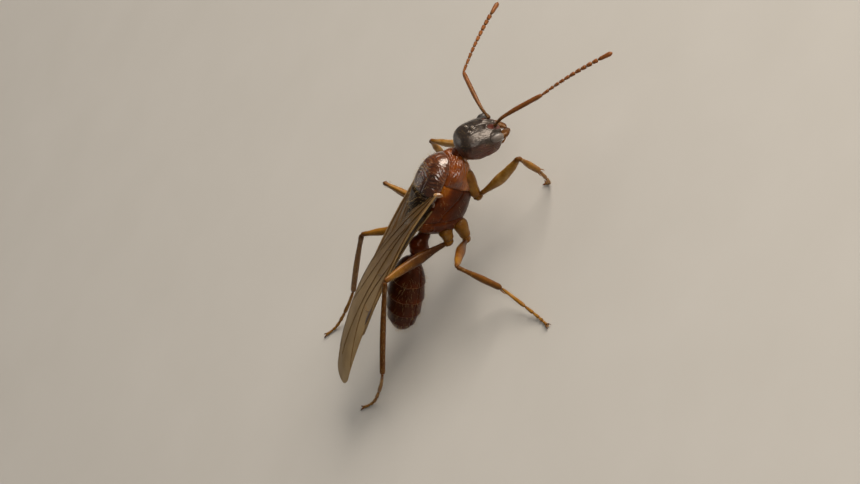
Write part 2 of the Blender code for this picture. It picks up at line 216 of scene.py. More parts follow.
# The back is the smoothest plate: a thick clear layer over brown, which mirrors a lamp as varnish does.
back_cuticle = cuticle(
    "dark glossy back cuticle", [(0.0, "140d05"), (0.4, "341504"), (0.75, "63300b"), (1.0, "945315")],
    roughness=0.3, coat=1.0, coat_roughness=0.19, coat_ior=1.75, shine=0.3, gleam="ffe8d0",
    depth_lit=0.1, rib_mm=0.15, rib_um=4.0)
# Its rear end is rougher, so it stays dark where the front of the back gleams.
rear_cuticle = cuticle(
    "dark satin rear back cuticle", [(0.0, "181005"), (0.4, "341807"), (0.75, "5c2f0d"), (1.0, "8a5018")],
    roughness=0.4, coat=0.3, coat_roughness=0.2, shine=0.2, gleam="dca878", depth_lit=0.1,
    rib_mm=0.15, rib_um=4.0)
# The gaster's rings are dark, smooth and a little greasy, and pale only along their thin rear edges.
gaster_cuticle = cuticle(
    "banded gaster cuticle", [(0.0, "240b03"), (0.4, "401504"), (0.75, "602a09"), (1.0, "9a6630")],
    roughness=0.34, coat=0.12, coat_roughness=0.16, shine=0.4, gleam="d89468", depth_lit=0.1)

# %% Finishes of the red-brown and amber plates
# The sides are thinner: light gets a little way in, so they glow red-brown and gleam only faintly.
side_cuticle = cuticle(
    "red-brown side cuticle", [(0.0, "2e0e02"), (0.4, "4b1a04"), (0.7, "783606"), (1.0, "a05c18")],
    roughness=0.36, coat=0.12, coat_roughness=0.18, shine=0.4, gleam="d88c58", depth_lit=0.15,
    rib_mm=0.13, rib_um=3.0)
# The collar has the sides' colour and the back's clear layer, so its wrinkles catch bright streaks.
collar_cuticle = cuticle(
    "glossy red-brown collar cuticle", [(0.0, "2e0e02"), (0.4, "4b1c06"), (0.7, "7c3c08"),
                                        (1.0, "a66118")],
    roughness=0.36, coat=0.95, coat_roughness=0.16, coat_ior=1.6, shine=0.15, gleam="d08850",
    depth_lit=0.15, rib_mm=0.13, rib_um=3.0)
# Limbs are thin-walled tubes with pale muscle inside, so they look like amber lit from within.
amber_cuticle = cuticle(
    "amber limb cuticle", [(0.0, "3a1a05"), (0.35, "6a400f"), (0.7, "8f6320"), (1.0, "b98e4e")],
    roughness=0.38, coat=0.16, coat_roughness=0.18, shine=0.3, gleam="f6cc98", depth_lit=0.3,
    mottle=0.12, mottle_mm=0.3)
# Feelers are darker than the legs, and red-brown.
feeler_cuticle = cuticle(
    "brown feeler cuticle", [(0.0, "33200c"), (0.35, "5c3817"), (0.7, "844d27"), (1.0, "a8703e")],
    roughness=0.38, coat=0.16, coat_roughness=0.18, shine=0.3, gleam="f6cc98", depth_lit=0.2,
    mottle=0.12, mottle_mm=0.3)
# The cap over a wing's hinge is clear and smooth like resin, and with a painted highlight on its upper side
# it is the brightest spot of the body.
cap_cuticle = cuticle(
    "clear amber wing cap", [(0.0, "3a1a06"), (0.6, "7a4a18"), (1.0, "c39a66")], roughness=0.3,
    coat=1.0, coat_roughness=0.14, coat_ior=1.7, shine=0.6, depth_lit=0.3, mottle=0.08)

# %% Finishes of eyes, wings and hairs
# Hundreds of lenses scatter a highlight, so a compound eye has a soft grey sheen and no sharp point.
eye_lens = cuticle(
    "compound eye lens", [(0.0, "1c1714"), (0.5, "463e39"), (1.0, "7a6f67")], roughness=0.42,
    coat=0.4, coat_roughness=0.35, shine=0.6, grain_mm=0.05, grain_um=5.0, mottle=0.06)
# An ocellus is one polished bead, and shows one small sharp highlight.
ocellus_lens = cuticle(
    "clear ocellus lens", [(0.0, "1a120c"), (1.0, "6e6256")], roughness=0.16, coat=0.5,
    coat_roughness=0.12, mottle=0.02, grain_um=0.2)
# Wing membrane is dry, thin and smoky: the eye sees through it a little, and its sheen is dull.
membrane = cuticle(
    "smoky wing membrane", [(0.0, "35240d"), (0.45, "6b4f25"), (1.0, "a68a5c")], roughness=0.42,
    coat=0.15, coat_roughness=0.25, shine=0.3, gleam="ffe8c8", grain_mm=0.14, grain_um=3.0,
    alpha=0.8, mottle=0.1, mottle_mm=0.8)
# Veins are the same stuff rolled into tubes, so they are darker and a little glossier.
vein_cuticle = cuticle(
    "brown wing vein", [(0.0, "3c240e"), (0.6, "6a4a22"), (1.0, "a98a58")], roughness=0.35,
    coat=0.2, mottle=0.08)
# A hair is a clear thin bristle, brown at its root and golden where light passes its tip.
hair_chitin = cuticle(
    "pale golden hair", [(0.0, "7d6238"), (1.0, "c9ab72")], roughness=0.4, coat=0.1, mottle=0.1)
print("finishes:", len(bpy.data.materials))

# %% [markdown]
# ## Finishing a piece
#
# Every piece ends the same way: its faces are turned outwards, it is scaled to metres, it rides on
# the model's one body, and any solid it stands for is hidden. Doing that in one function keeps the
# modelling cells short and makes it hard to forget a step.

# %% Finish and paint
def paint(bm, value, name="tone"):
    """Give each point its tone, or another number of that name, worked out from where it is."""
    layer = bm.verts.layers.float.get(name) or bm.verts.layers.float.new(name)
    for vertex in bm.verts:
        vertex[layer] = value(vertex.co) if callable(value) else value


def finish(name, bm, material, slot, *nodes):
    """Make the bmesh, which is in millimetres in the level frame, a piece of the model."""
    bmesh.ops.recalc_face_normals(bm, faces=bm.faces)
    bm.transform(TO_METRES)
    for face in bm.faces:
        face.smooth = True
    mesh = bpy.data.meshes.new(name)
    bm.to_mesh(mesh)
    bm.free()
    mesh.materials.append(material)
    piece = bpy.data.objects.new(name, mesh)
    bpy.context.scene.collection.objects.link(piece)
    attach(piece, "root")
    if nodes:
        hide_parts(*nodes)


def join(*parts):
    """Several bmeshes as one."""
    whole = bmesh.new()
    for part in parts:
        loose = bpy.data.meshes.new("part")
        part.to_mesh(loose)
        part.free()
        whole.from_mesh(loose)
        bpy.data.meshes.remove(loose)
    return whole


# %% [markdown]
# ## Two forms that nearly everything starts from
#
# A plate of the head or body is part of an egg. The egg starts as a fine ball, is squared off a
# little, because real plates are fuller than an ellipsoid, and is then pushed in and out along its
# surface: grooves, ridges and swellings are each one small term.
#
# A limb, feeler, vein or claw is a ball drawn out along a curved path, with its own thickness at
# each point. Drawing out a ball, and not a tube, gives a closed and rounded end for nothing.

# %% Egg and limb
def egg(half, roundness=2.0, fineness=6):
    """A ball with even small faces, squared off by its roundness and stretched."""
    bm = bmesh.new()
    bmesh.ops.create_icosphere(bm, subdivisions=fineness, radius=1.0)
    for vertex in bm.verts:
        size = sum(abs(part) ** roundness for part in vertex.co) ** (1 / roundness)
        vertex.co = Vector(part / size * length for part, length in zip(vertex.co, half))
    return bm


def sculpt(bm, lift):
    """Push each point out along the surface by the lift worked out for its place."""
    bm.normal_update()
    pushed = [(vertex, vertex.normal * lift(vertex.co)) for vertex in bm.verts]
    for vertex, push in pushed:
        vertex.co += push
    bm.normal_update()


def keep_side(bm, point, normal):
    """Cut the mesh by a plane, keep what lies on the normal's side and close the cut."""
    bmesh.ops.bisect_plane(bm, geom=bm.verts[:] + bm.edges[:] + bm.faces[:], dist=1e-6,
                           plane_co=point, plane_no=normal, clear_inner=True)
    rim = [edge for edge in bm.edges if edge.is_boundary]
    if rim:
        bmesh.ops.holes_fill(bm, edges=rim, sides=0)
        for edge in rim:
            edge.smooth = False


def copy_of(bm):
    """A copy that has all the original's numbers too."""
    return join(bm.copy())


def blend_along(stops, share):
    """A value read off a list of (share, value), eased between its neighbours."""
    for (low, first), (high, second) in zip(stops, stops[1:]):
        if share <= high:
            return first + (second - first) * step(low, high, share)
    return stops[-1][1]


def curve_through(points, count=160):
    """A smooth curve through the points, as evenly spaced points from start to end, and its length."""
    points = [Vector(point) for point in points]
    ends = [points[0] * 2 - points[1]] + points + [points[-1] * 2 - points[-2]]
    fine = []
    for before, start, end, after in zip(ends, ends[1:], ends[2:], ends[3:]):
        for number in range(24):
            t = number / 24
            fine.append(0.5 * (2 * start + (end - before) * t
                               + (2 * before - 5 * start + 4 * end - after) * t ** 2
                               + (3 * start - before - 3 * end + after) * t ** 3))
    fine.append(points[-1])
    lengths = [0.0]
    for start, end in zip(fine, fine[1:]):
        lengths.append(lengths[-1] + (end - start).length)
    even, at = [], 0
    for number in range(count + 1):
        wanted = lengths[-1] * number / count
        while at < len(fine) - 2 and lengths[at + 1] < wanted:
            at += 1
        span = max(1e-9, lengths[at + 1] - lengths[at])
        even.append(fine[at].lerp(fine[at + 1], (wanted - lengths[at]) / span))
    return even, lengths[-1]


def limb(points, radii, tones=((0, 0.5), (1, 0.5)), sides=16, rings=40, across=(0, 1, 0), flat=1.0,
         shape=None):
    """A ball drawn out along the points, with its radii and tones given at shares of its length.

    flat narrows it in the direction called across, and shape(share, angle) swells or shrinks it.
    """
    even, length = curve_through(points)
    count = len(even) - 1
    bm = bmesh.new()
    bmesh.ops.create_uvsphere(bm, u_segments=sides, v_segments=rings, radius=1.0)
    for name in ("tone", "flow"):
        bm.verts.layers.float.new(name)
    tone, flow = (bm.verts.layers.float[name] for name in ("tone", "flow"))
    ends = radii[0][1] / length, radii[-1][1] / length
    for vertex in bm.verts:
        turn = acos(max(-1.0, min(1.0, vertex.co.z))) / pi
        share = 0.6 * turn + 0.4 * (1 - vertex.co.z) / 2
        angle = atan2(vertex.co.y, vertex.co.x)
        number = min(count - 1, int(share * count))
        place = even[number].lerp(even[number + 1], share * count - number)
        along = (even[min(count, number + 2)] - even[max(0, number - 1)]).normalized()
        side = Vector(across)
        side = (side - along * side.dot(along)).normalized()
        top = along.cross(side)
        radius = blend_along(radii, share)
        if share < ends[0]:
            radius *= sqrt(max(0.0, 1 - (1 - share / ends[0]) ** 2))
        if 1 - share < ends[1]:
            radius *= sqrt(max(0.0, 1 - (1 - (1 - share) / ends[1]) ** 2))
        if shape:
            radius *= shape(share, angle)
        vertex.co = place + side * (cos(angle) * radius * flat) + top * (sin(angle) * radius)
        vertex[tone] = blend_along(tones, share)
        vertex[flow] = share * length
    return bm


def in_frame(matrix, points):
    """The points of a tilted frame, as the level frame sees them."""
    return [matrix @ Vector(point) for point in points]


# %% [markdown]
# ## The head capsule
#
# An ant's head is one hard capsule, flat behind and broadest at the eyes, that hangs with its face
# to the front. What makes it a head and not an egg is small: the rim round each eye, two lobes that
# shelter the feeler sockets, the raised clypeus over the jaws, a thin line down the face, and fine
# curved wrinkles on the cheeks. These are sculpted from one egg by adding up small terms, because
# they must flow into each other as they do on the real capsule.

# %% Head capsule
HEAD_HALF = (1.32, 1.25, 0.88)      # x towards the jaws, y left, z towards the face
HEAD_ROUNDNESS = 2.5
EYE_PLACE = Vector((0.84, 1.06, 0.4))
EYE_HALF = (0.39, 0.24, 0.28)
SOCKET_PLACE = Vector((0.93, 0.42, 0.7))
OCELLI = ((-0.12, 0.0), (-0.4, 0.3), (-0.4, -0.3))
CHEEK_WRINKLE = 0.13                # spacing of the wrinkles on the cheeks


def socket_distance(right):
    """How far a place on the right-hand side is from the feeler's pit, which is a long oval."""
    away = right - SOCKET_PLACE
    return Vector((away.x * 0.75, away.y * 1.35, away.z * 0.75)).length


def head_flow(place):
    """The ribs of the head run from its nape to its jaws, so flow counts the way round it."""
    return 1.15 * atan2(place.z + 0.2, abs(place.y) + 0.05)


def head_lift(place):
    """How far each place of the head stands out of the egg, as the sum of its features."""
    x, y, z = place
    right = Vector((x, abs(y), z))
    eye = (right - EYE_PLACE).length
    socket = socket_distance(right)
    face = step(0.1, 0.6, z)
    # The rim round the eye, the feeler's pit and its rim, the lobes beside the pits, the line down
    # the face, and the clypeus with its keel.
    lift = 0.02 * hump(eye - 0.42, 0.08) - 0.02 * hump(eye - 0.34, 0.06)
    lift -= 0.1 * hump(socket, 0.2) - 0.05 * hump(socket - 0.33, 0.07)
    lift += 0.07 * face * hump(abs(y) - 0.24, 0.09) * step(0.35, 0.8, x) * step(1.2, 1.0, x)
    lift -= 0.022 * face * hump(y, 0.035) * step(-0.1, 0.1, x) * step(0.95, 0.75, x)
    shield = step(0.62, 0.5, abs(y)) * step(1.02, 1.1, x + 0.3 * y * y) * step(-0.25, 0.1, z)
    lift += 0.06 * shield + 0.03 * shield * hump(y, 0.06)
    for along, across in OCELLI:
        bead = sqrt((x - along) ** 2 + (y - across) ** 2)
        lift += face * (0.03 * hump(bead - 0.13, 0.04) - 0.03 * hump(bead, 0.08))
    cheek = step(0.55, 0.85, abs(y)) * step(0.5, 0.1, z) * step(-0.9, -0.3, x) * step(1.15, 0.9, x)
    waver = noise.noise(Vector((x, abs(y), z)) * 2.2)
    wrinkle = sin(2 * pi * (head_flow(place) + 0.2 * waver) / CHEEK_WRINKLE)
    lift += 0.014 * cheek * wrinkle * (0.7 + waver)
    furrow = face * step(0.3, 0.5, abs(y)) * step(0.9, 0.6, x)
    rough = noise.noise(Vector((x * 1.2, abs(y) * 9, z * 9)))
    lift += 0.008 * furrow * rough
    lift += 0.016 * noise.noise(place * 2.6) + 0.006 * noise.noise(place * 7)
    return lift


def head_tone(place):
    """Black-brown above, redder on the cheeks and chin, and crimson in the feelers' pits."""
    x, y, z = place
    socket = socket_distance(Vector((x, abs(y), z)))
    tone = 0.2 + 0.3 * step(0.1, -0.6, z) + 0.4 * step(0.6, 0.05, z) * step(0.75, 1.1, abs(y))
    return tone + 0.75 * step(0.3, 0.22, socket) + 0.45 * step(1.08, 1.25, x) * step(0.6, 0.4, abs(y))


# %% Sculpt the head
head = egg(HEAD_HALF, HEAD_ROUNDNESS, 7)
sculpt(head, head_lift)
paint(head, head_tone)
paint(head, head_flow, "flow")
HEAD_SKIN = [(HEAD @ vertex.co, (HEAD.to_3x3() @ vertex.normal).normalized(), vertex.co.copy())
             for vertex in head.verts]
head.transform(HEAD)
print("head capsule faces:", len(head.faces))
finish("head_capsule", head, head_cuticle, "head_shell", "head")

# %% [markdown]
# ## Eyes and ocelli
#
# A queen sees with two kinds of eyes: a compound eye on each side, a low dome of hundreds of hexagon
# lenses, and three ocelli on top of the head, each one clear bead. The dome is an egg of its own that
# sits in the capsule's rim. Its facets are far too small for modelled faces, so they are a bump in
# the material; real ones are 0.02 mm wide and are drawn at 0.05 mm so that they show at all.

# %% Compound eyes
EYE_TURN = 25.0         # degrees that an eye faces up from level

for side, name in ((-1, "right"), (1, "left")):
    eye = egg(EYE_HALF, 2.1, 6)
    turn = Matrix.Rotation(radians(-side * EYE_TURN), 4, "X")
    paint(eye, lambda place: 0.9 - 0.6 * step(0.0, -0.06, place.y * side))
    eye.transform(HEAD @ Matrix.Translation((EYE_PLACE.x, side * EYE_PLACE.y, EYE_PLACE.z)) @ turn)
    finish("eye_dome_" + name, eye, eye_lens, "eye", "eye_" + name)

# %% Ocelli
beads = []
for along, across in OCELLI:
    bead = egg((0.1, 0.1, 0.07), 2.0, 4)
    paint(bead, lambda place: 0.2 + 0.8 * step(0.0, 0.06, place.z))
    height = HEAD_HALF[2] * (1 - abs(along / HEAD_HALF[0]) ** HEAD_ROUNDNESS
                             - abs(across / HEAD_HALF[1]) ** HEAD_ROUNDNESS) ** (1 / HEAD_ROUNDNESS)
    bead.transform(HEAD @ Matrix.Translation((along, across, height - 0.01)))
    beads.append(bead)
finish("ocelli", join(*beads), ocellus_lens, "eye")
print("ocelli:", len(OCELLI))

# %% [markdown]
# ## Jaws
#
# A mandible is a curved blade, thick at its hinge and broad at its cutting edge, which carries a row
# of pointed teeth. The blade is a flattened limb, and the teeth are small horns that grow out of its
# inner edge and share its shell. Two thin jointed palps hang behind the jaws.

# %% Mandibles with teeth
TEETH = 5
TOOTH_RADII = ((0, 0.06), (0.5, 0.045), (1, 0.012))

for side, name in ((-1, "right"), (1, "left")):
    shut = -0.05 * side       # the shut jaws cross, one over the other
    blade_path = ((0.95, side * 0.62, 0.1), (1.3, side * 0.62, 0.08), (1.53, side * 0.5, 0.04 + shut),
                  (1.7, side * 0.3, shut), (1.77, side * 0.08, -0.02 + shut))
    blade = limb(in_frame(HEAD, blade_path), ((0, 0.27), (0.4, 0.27), (0.75, 0.19), (1, 0.07)),
                 ((0, 0.1), (0.4, 0.22), (0.8, 0.16), (1, 0.04)), sides=24, rings=48,
                 across=HEAD.to_3x3() @ Vector((0, 0, 1)), flat=0.62)
    teeth = []
    for number in range(TEETH):
        root = Vector((1.7 - 0.08 * number, side * (0.14 + 0.035 * number), shut))
        tip = root + Vector((0.05 - 0.03 * number, -side * (0.15 - 0.015 * number), -0.01))
        middle = root.lerp(tip, 0.5) + Vector((0.01, 0, 0))
        teeth.append(limb(in_frame(HEAD, (root, middle, tip)), TOOTH_RADII, ((0, 0.14), (1, 0.0)),
                          sides=10, rings=12))
    finish("mandible_blade_" + name, join(blade, *teeth), amber_cuticle, "mandible", "mandible_" + name)

# %% Palps
PALP_JOINTS = 5
palps = []
for side in (-1, 1):
    palp_path = ((0.9, side * 0.25, -0.5), (1.2, side * 0.32, -0.62), (1.42, side * 0.3, -0.52),
                 (1.55, side * 0.24, -0.36))
    palps.append(limb(in_frame(HEAD, palp_path), ((0, 0.06), (0.3, 0.05), (0.6, 0.055), (1, 0.03)),
                      ((0, 0.4), (1, 0.8)), sides=10, rings=36,
                      shape=lambda share, angle: 1 - 0.28 * hump((share * PALP_JOINTS) % 1 - 0.5, 0.12)))
finish("palps", join(*palps), amber_cuticle, "mandible")
print("jaws with", 2 * TEETH, "teeth, and two palps")

# %% [markdown]
# ## Feelers
#
# An ant's feeler is elbowed: a long scape that turns in the socket, and then a whip of eleven short
# segments that swell towards the tip. A single smooth tube would look like a wire, so each segment
# is a small drawn-out ball that is narrower where it joins the one before.

# %% Scapes and whips
SCAPE_ROOT = (1.05, 0.42, 0.7)
# Scape and whip: length, outward heading and rise in degrees.
FEELERS = {"right": ((3.4, 20, -5), (4.8, 22, -7)), "left": ((3.4, 76, 20), (4.8, 35, -10))}
SCAPE_RADII = ((0, 0.13), (0.035, 0.13), (0.07, 0.07), (0.16, 0.09), (0.55, 0.135), (0.9, 0.13), (1, 0.1))
WHIP_SEGMENTS = 11
FIRST_SEGMENT = 0.115       # the first segment's share of the whip, and each later one's
NEXT_SEGMENT = 0.0775
WHIP_STEPS = 220
FEELER_SKIN = []        # lines and radii that the down is planted along


def bowed(start, end, sag, count=5):
    """Points from start to end, bowed upwards by sag."""
    shares = [number / (count - 1) for number in range(count)]
    return [start.lerp(end, share) + Vector((0, 0, 4 * sag * share * (1 - share))) for share in shares]


def scape_path(root, elbow):
    """A scape rises steeply out of its socket, then bends over and runs nearly straight."""
    return [root.lerp(elbow, share) + Vector((0, 0, rise))
            for share, rise in ((0, 0), (0.05, 0.13), (0.2, 0.27), (0.45, 0.24), (0.75, 0.12), (1, 0))]


for side, name in ((-1, "right"), (1, "left")):
    scape_run, whip_run = (heading(*run[1:], side) * run[0] for run in FEELERS[name])
    root = HEAD @ Vector((SCAPE_ROOT[0], side * SCAPE_ROOT[1], SCAPE_ROOT[2] - 0.04))
    elbow = root + scape_run
    tip = elbow + whip_run
    scape = limb(scape_path(root, elbow), SCAPE_RADII, ((0, 0.1), (0.08, 0.2), (0.3, 0.45), (1, 0.55)),
                 rings=56)
    finish("scape_stem_" + name, scape, feeler_cuticle, "feeler", "scape_" + name)
    path = curve_through(bowed(elbow - whip_run * 0.012, tip, 0.15), WHIP_STEPS)[0]
    rings = []
    joints = [FIRST_SEGMENT + NEXT_SEGMENT * number for number in range(WHIP_SEGMENTS - 1)]
    shares = [0.0] + joints + [1.0]
    for number in range(WHIP_SEGMENTS):
        first, last = (int(share * WHIP_STEPS) for share in shares[number:number + 2])
        swell = 0.085 + 0.05 * number / (WHIP_SEGMENTS - 1)
        end = swell if number < WHIP_SEGMENTS - 1 else 0.06
        points = [path[first], path[(first + last) // 2], path[last]]
        rings.append(limb(points, ((0, swell * 0.55), (0.3, swell * 0.85), (0.8, swell), (1, end * 0.9)),
                          ((0, 0.35), (0.3, 0.7), (1, 0.6)), rings=16))
    finish("feeler_whip_" + name, join(*rings), feeler_cuticle, "feeler", "funiculus_" + name)
    FEELER_SKIN += [(scape_path(root, elbow), 0.12), (bowed(elbow, tip, 0.15), 0.11)]
print("feelers with", WHIP_SEGMENTS, "whip segments each")

# %% [markdown]
# ## The thorax
#
# The middle of a queen's body is a high box of flight muscle. Its shell is made of plates that were
# one ball in the pupa, so one egg is sculpted with all its furrows, and only then parted: each plate
# is a copy cut by the planes it shares with its neighbours. The cuts lie at the bottom of sculpted
# grooves, where the real plates meet as well.

# %% Sculpt the whole thorax
THORAX_MIDDLE_X = 0.13
THORAX_HALF_LENGTH = 2.52
THORAX_TOP, THORAX_BOTTOM, THORAX_HALF_WIDTH = 1.7, 1.62, 1.3
RIDGE_SPACING = 0.17        # of the ridges that arch across the back
# Each plane is a point on it and its normal. Plates meet along most of them, and the saddle behind
# the wings and the furrow along the flank follow the other two.
SEAM = Vector((1.0, 0.0, 0.74)), Vector((0.215, 0.0, 0.977)).normalized()
COLLAR = Vector((1.0, 0.0, -0.6)), Vector((0.98, 0.0, -0.2)).normalized()
SCUTUM_REAR = Vector((0.3, 0.0, 0.0)), Vector((1.0, 0.0, 0.0))
SADDLE = Vector((-0.75, 0.0, 0.0)), Vector((1.0, 0.0, 0.2)).normalized()
HIPS = Vector((-1.15, 0.0, 0.0)), Vector((-1.0, 0.0, -0.25)).normalized()
FLANK = Vector((0.0, 0.0, -0.15)), Vector((0.35, 0.0, 0.937)).normalized()


def off(plane, place):
    """How far a place is from a plane, on its normal's side if more than 0."""
    return (place - plane[0]).dot(plane[1])


def thorax_form(place):
    """From a point of the unit egg to the same point of the thorax."""
    ahead, left, up = place
    height = THORAX_TOP * (1 + 0.05 * ahead) if up > 0 else THORAX_BOTTOM * (1 - 0.12 * ahead)
    width = THORAX_HALF_WIDTH * (1 + 0.08 * ahead)
    middle = 0.05 - 0.1 * ahead + 0.12 * ahead * ahead
    return Vector((THORAX_MIDDLE_X + ahead * THORAX_HALF_LENGTH, left * width, middle + up * height))


def thorax_flow(place):
    """Ribs arch across the back plates and run lengthwise on the collar and sides."""
    x, y, z = place
    return x + 0.25 * y * y if off(SEAM, place) > 0 else z - 0.2 * x + 0.5 * abs(y)


def ridge_wave(place):
    """1 on top of the back's ridges and -1 between them; the ridges waver a little."""
    waver = noise.noise(Vector((place.x, abs(place.y), place.z)) * 1.7)
    return sin(2 * pi * (thorax_flow(place) + 0.3 * waver) / RIDGE_SPACING)


def groove_lift(place):
    """The grooves in which plates meet."""
    seam, collar, hips = off(SEAM, place), off(COLLAR, place), off(HIPS, place)
    rear, saddle, flank = off(SCUTUM_REAR, place), off(SADDLE, place), off(FLANK, place)
    above, below = step(-0.04, 0.04, seam), step(0.04, -0.04, seam)
    lift = -0.11 * hump(seam, 0.055) * step(-1.3, -1.0, place.x)
    lift -= 0.08 * below * hump(collar, 0.05)
    lift -= 0.1 * hump(hips, 0.07)
    lift -= above * (0.13 * hump(rear, 0.07) + 0.12 * hump(saddle, 0.09))
    lift += 0.08 * above * step(0.0, 0.3, -rear) * step(0.0, 0.3, saddle) * hump(place.y, 0.6)
    side_line = hump(flank + 0.1 * sin(2.2 * place.x), 0.06)
    return lift - 0.05 * below * step(0.05, -0.05, collar) * side_line * step(0.2, -0.1, hips)


def back_lift(place):
    """The two furrows, the middle line and the ridges of the scutum."""
    x, y, z = place
    scutum = step(-0.04, 0.04, off(SEAM, place)) * step(0.05, 0.2, off(SCUTUM_REAR, place))
    waver = noise.noise(Vector((x, abs(y), z)) * 1.7)
    lift = -0.03 * scutum * hump(abs(y) - 0.55 - 0.05 * x, 0.03) * step(1.6, 1.2, x)
    lift -= 0.015 * scutum * hump(y, 0.03) * step(0.8, 1.1, x)
    return lift + 0.013 * scutum * step(2.7, 1.5, x) * ridge_wave(place) * (0.8 + waver)


def side_lift(place):
    """The wrinkled nape, the ribs of the collar and the side, and the swelling under the collar's top."""
    x, y, z = place
    seam, collar = off(SEAM, place), off(COLLAR, place)
    waver = noise.noise(Vector((x, abs(y), z)) * 1.7)
    below = step(0.04, -0.04, seam)
    ring = sqrt(y * y + (z + 0.35) ** 2)
    front = below * step(1.9, 2.3, x)
    lift = 0.028 * front * sin(22 * atan2(y, z + 0.35) + 2 * waver) * step(0.3, 0.6, ring)
    nape = below * step(0.0, 0.25, collar)
    lift += 0.17 * nape * hump(seam + 0.6, 0.3) * step(1.2, 1.7, x)
    lift += 0.007 * nape * sin(2 * pi * (z + 0.3 * x + 0.2 * waver) / 0.16)
    upper_side = below * step(0.0, -0.3, collar) * step(0.6, 1.0, off(FLANK, place))
    return lift + 0.01 * upper_side * sin(2 * pi * (z - 0.4 * x) / 0.18)


def rear_lift(place):
    """The breathing hole, the gland over the hind hip, and the cross wrinkles of the rear slope."""
    x, y, z = place
    waver = noise.noise(Vector((x, abs(y), z)) * 1.7)
    on_side = abs(y) > 0.5
    hole = sqrt((x + 1.75) ** 2 + (z - 0.55) ** 2) if on_side else 1.0
    gland = sqrt((x + 1.75) ** 2 + (z + 0.75) ** 2) if on_side else 1.0
    back_end = step(-0.02, 0.2, off(HIPS, place))
    lift = 0.05 * hump(hole - 0.13, 0.05) - 0.07 * hump(hole, 0.07) + 0.09 * hump(gland, 0.25)
    return lift + 0.012 * back_end * sin(2 * pi * (z + 0.3 * waver) / 0.2) * step(0.9, 0.5, abs(y))


def thorax_lift(place):
    """All of these, and the unevenness that any cast shell has."""
    lift = groove_lift(place) + back_lift(place) + side_lift(place) + rear_lift(place)
    return lift + 0.02 * noise.noise(place * 2.3) + 0.006 * noise.noise(place * 7)


def thorax_tone(place):
    """Dark on the back, palest under the wing's hinge and on the collar, deep red-brown below; painted
    shade darkens the back's furrows and the flanks' bottom.
    """
    x, y, z = place
    seam, collar, hips = off(SEAM, place), off(COLLAR, place), off(HIPS, place)
    if seam > 0 and hips < 0:
        # Painted shade: the back is paler on its ridges' crests and darker in the furrows between them.
        ridge = 0.12 * ridge_wave(place) * step(0.1, 0.5, x)
        dark = 0.42 - 0.38 * step(0.6, 0.1, x) + 0.22 * step(1.4, 2.3, x) + ridge
        return dark + 0.2 * step(0.7, 1.2, abs(y)) * step(0.1, 0.5, x)
    if collar > 0:
        return 0.56 + 0.3 * step(0.1, -1.0, z) + 0.06 * step(1.2, 2.2, x)
    if hips > 0:
        return 0.45 + 0.2 * step(0.4, 1.2, z)
    # Below the collar and the back: pale near the wing's hinge, and darker towards the bottom, partly the
    # plates' own red-brown and partly painted shade.
    return 0.42 - 0.3 * step(0.2, -0.6, z) + 0.5 * step(0.35, 0.75, seam + 1.0) * step(0.25, 0.9, x)


thorax = egg((1, 1, 1), 2.5, 7)
for vertex in thorax.verts:
    vertex.co = thorax_form(vertex.co)
sculpt(thorax, thorax_lift)
paint(thorax, thorax_tone)
paint(thorax, thorax_flow, "flow")
THORAX_SKIN = [(BODY @ vertex.co, (BODY.to_3x3() @ vertex.normal).normalized(), vertex.co.copy())
               for vertex in thorax.verts]
print("thorax faces:", len(thorax.faces))

# %% Part it into its plates
PLATES = {
    "pronotum": ("pronotum_plate", collar_cuticle, "pronotum", ((SEAM, -1), (COLLAR, 1))),
    "mesoscutum": ("scutum_plate", back_cuticle, "back_plate", ((SEAM, 1), (SCUTUM_REAR, 1))),
    "scutellum": ("scutellum_plate", rear_cuticle, "back_plate",
                  ((SEAM, 1), (SCUTUM_REAR, -1), (HIPS, -1))),
    "mesopleuron": ("side_plates", side_cuticle, "side_plate", ((SEAM, -1), (COLLAR, -1), (HIPS, -1))),
    "propodeum": ("propodeum_plate", side_cuticle, "side_plate", ((HIPS, 1),)),
}
for node, (name, material, slot, planes) in PLATES.items():
    plate = copy_of(thorax)
    for (point, normal), keep in planes:
        keep_side(plate, point, normal * keep)
    plate.transform(BODY)
    finish(name, plate, material, slot, node)
thorax.free()
print("plates:", ", ".join(PLATES))

# %% [markdown]
# ## Neck and wing caps
#
# The neck is soft membrane with fine rings, mostly hidden in the collar of the thorax. Over each
# forewing's hinge sits the tegula, a smooth amber cap like a lentil that shows the light through it,
# with a few small hinge plates behind it.

# %% Neck
neck = limb(in_frame(BODY, ((2.2, 0, -0.2), (2.75, 0, -0.33), (3.3, 0, -0.55))),
            ((0, 0.47), (0.5, 0.42), (1, 0.42)), ((0, 0.1), (1, 0.35)), sides=32, rings=60,
            shape=lambda share, angle: 1 + 0.03 * sin(60 * share))
finish("neck_membrane", neck, side_cuticle, "pronotum", "neck")

# %% Tegulae and hinge plates
TEGULA_HALF = (0.14, 0.11, 0.27)
TEGULA_PLACE = (0.72, 1.27, 0.93)
HINGE_KNOBS = ((0.45, 1.22, 1.02, 0.1), (0.22, 1.2, 1.1, 0.09), (0.0, 1.18, 0.98, 0.1))    # place, size

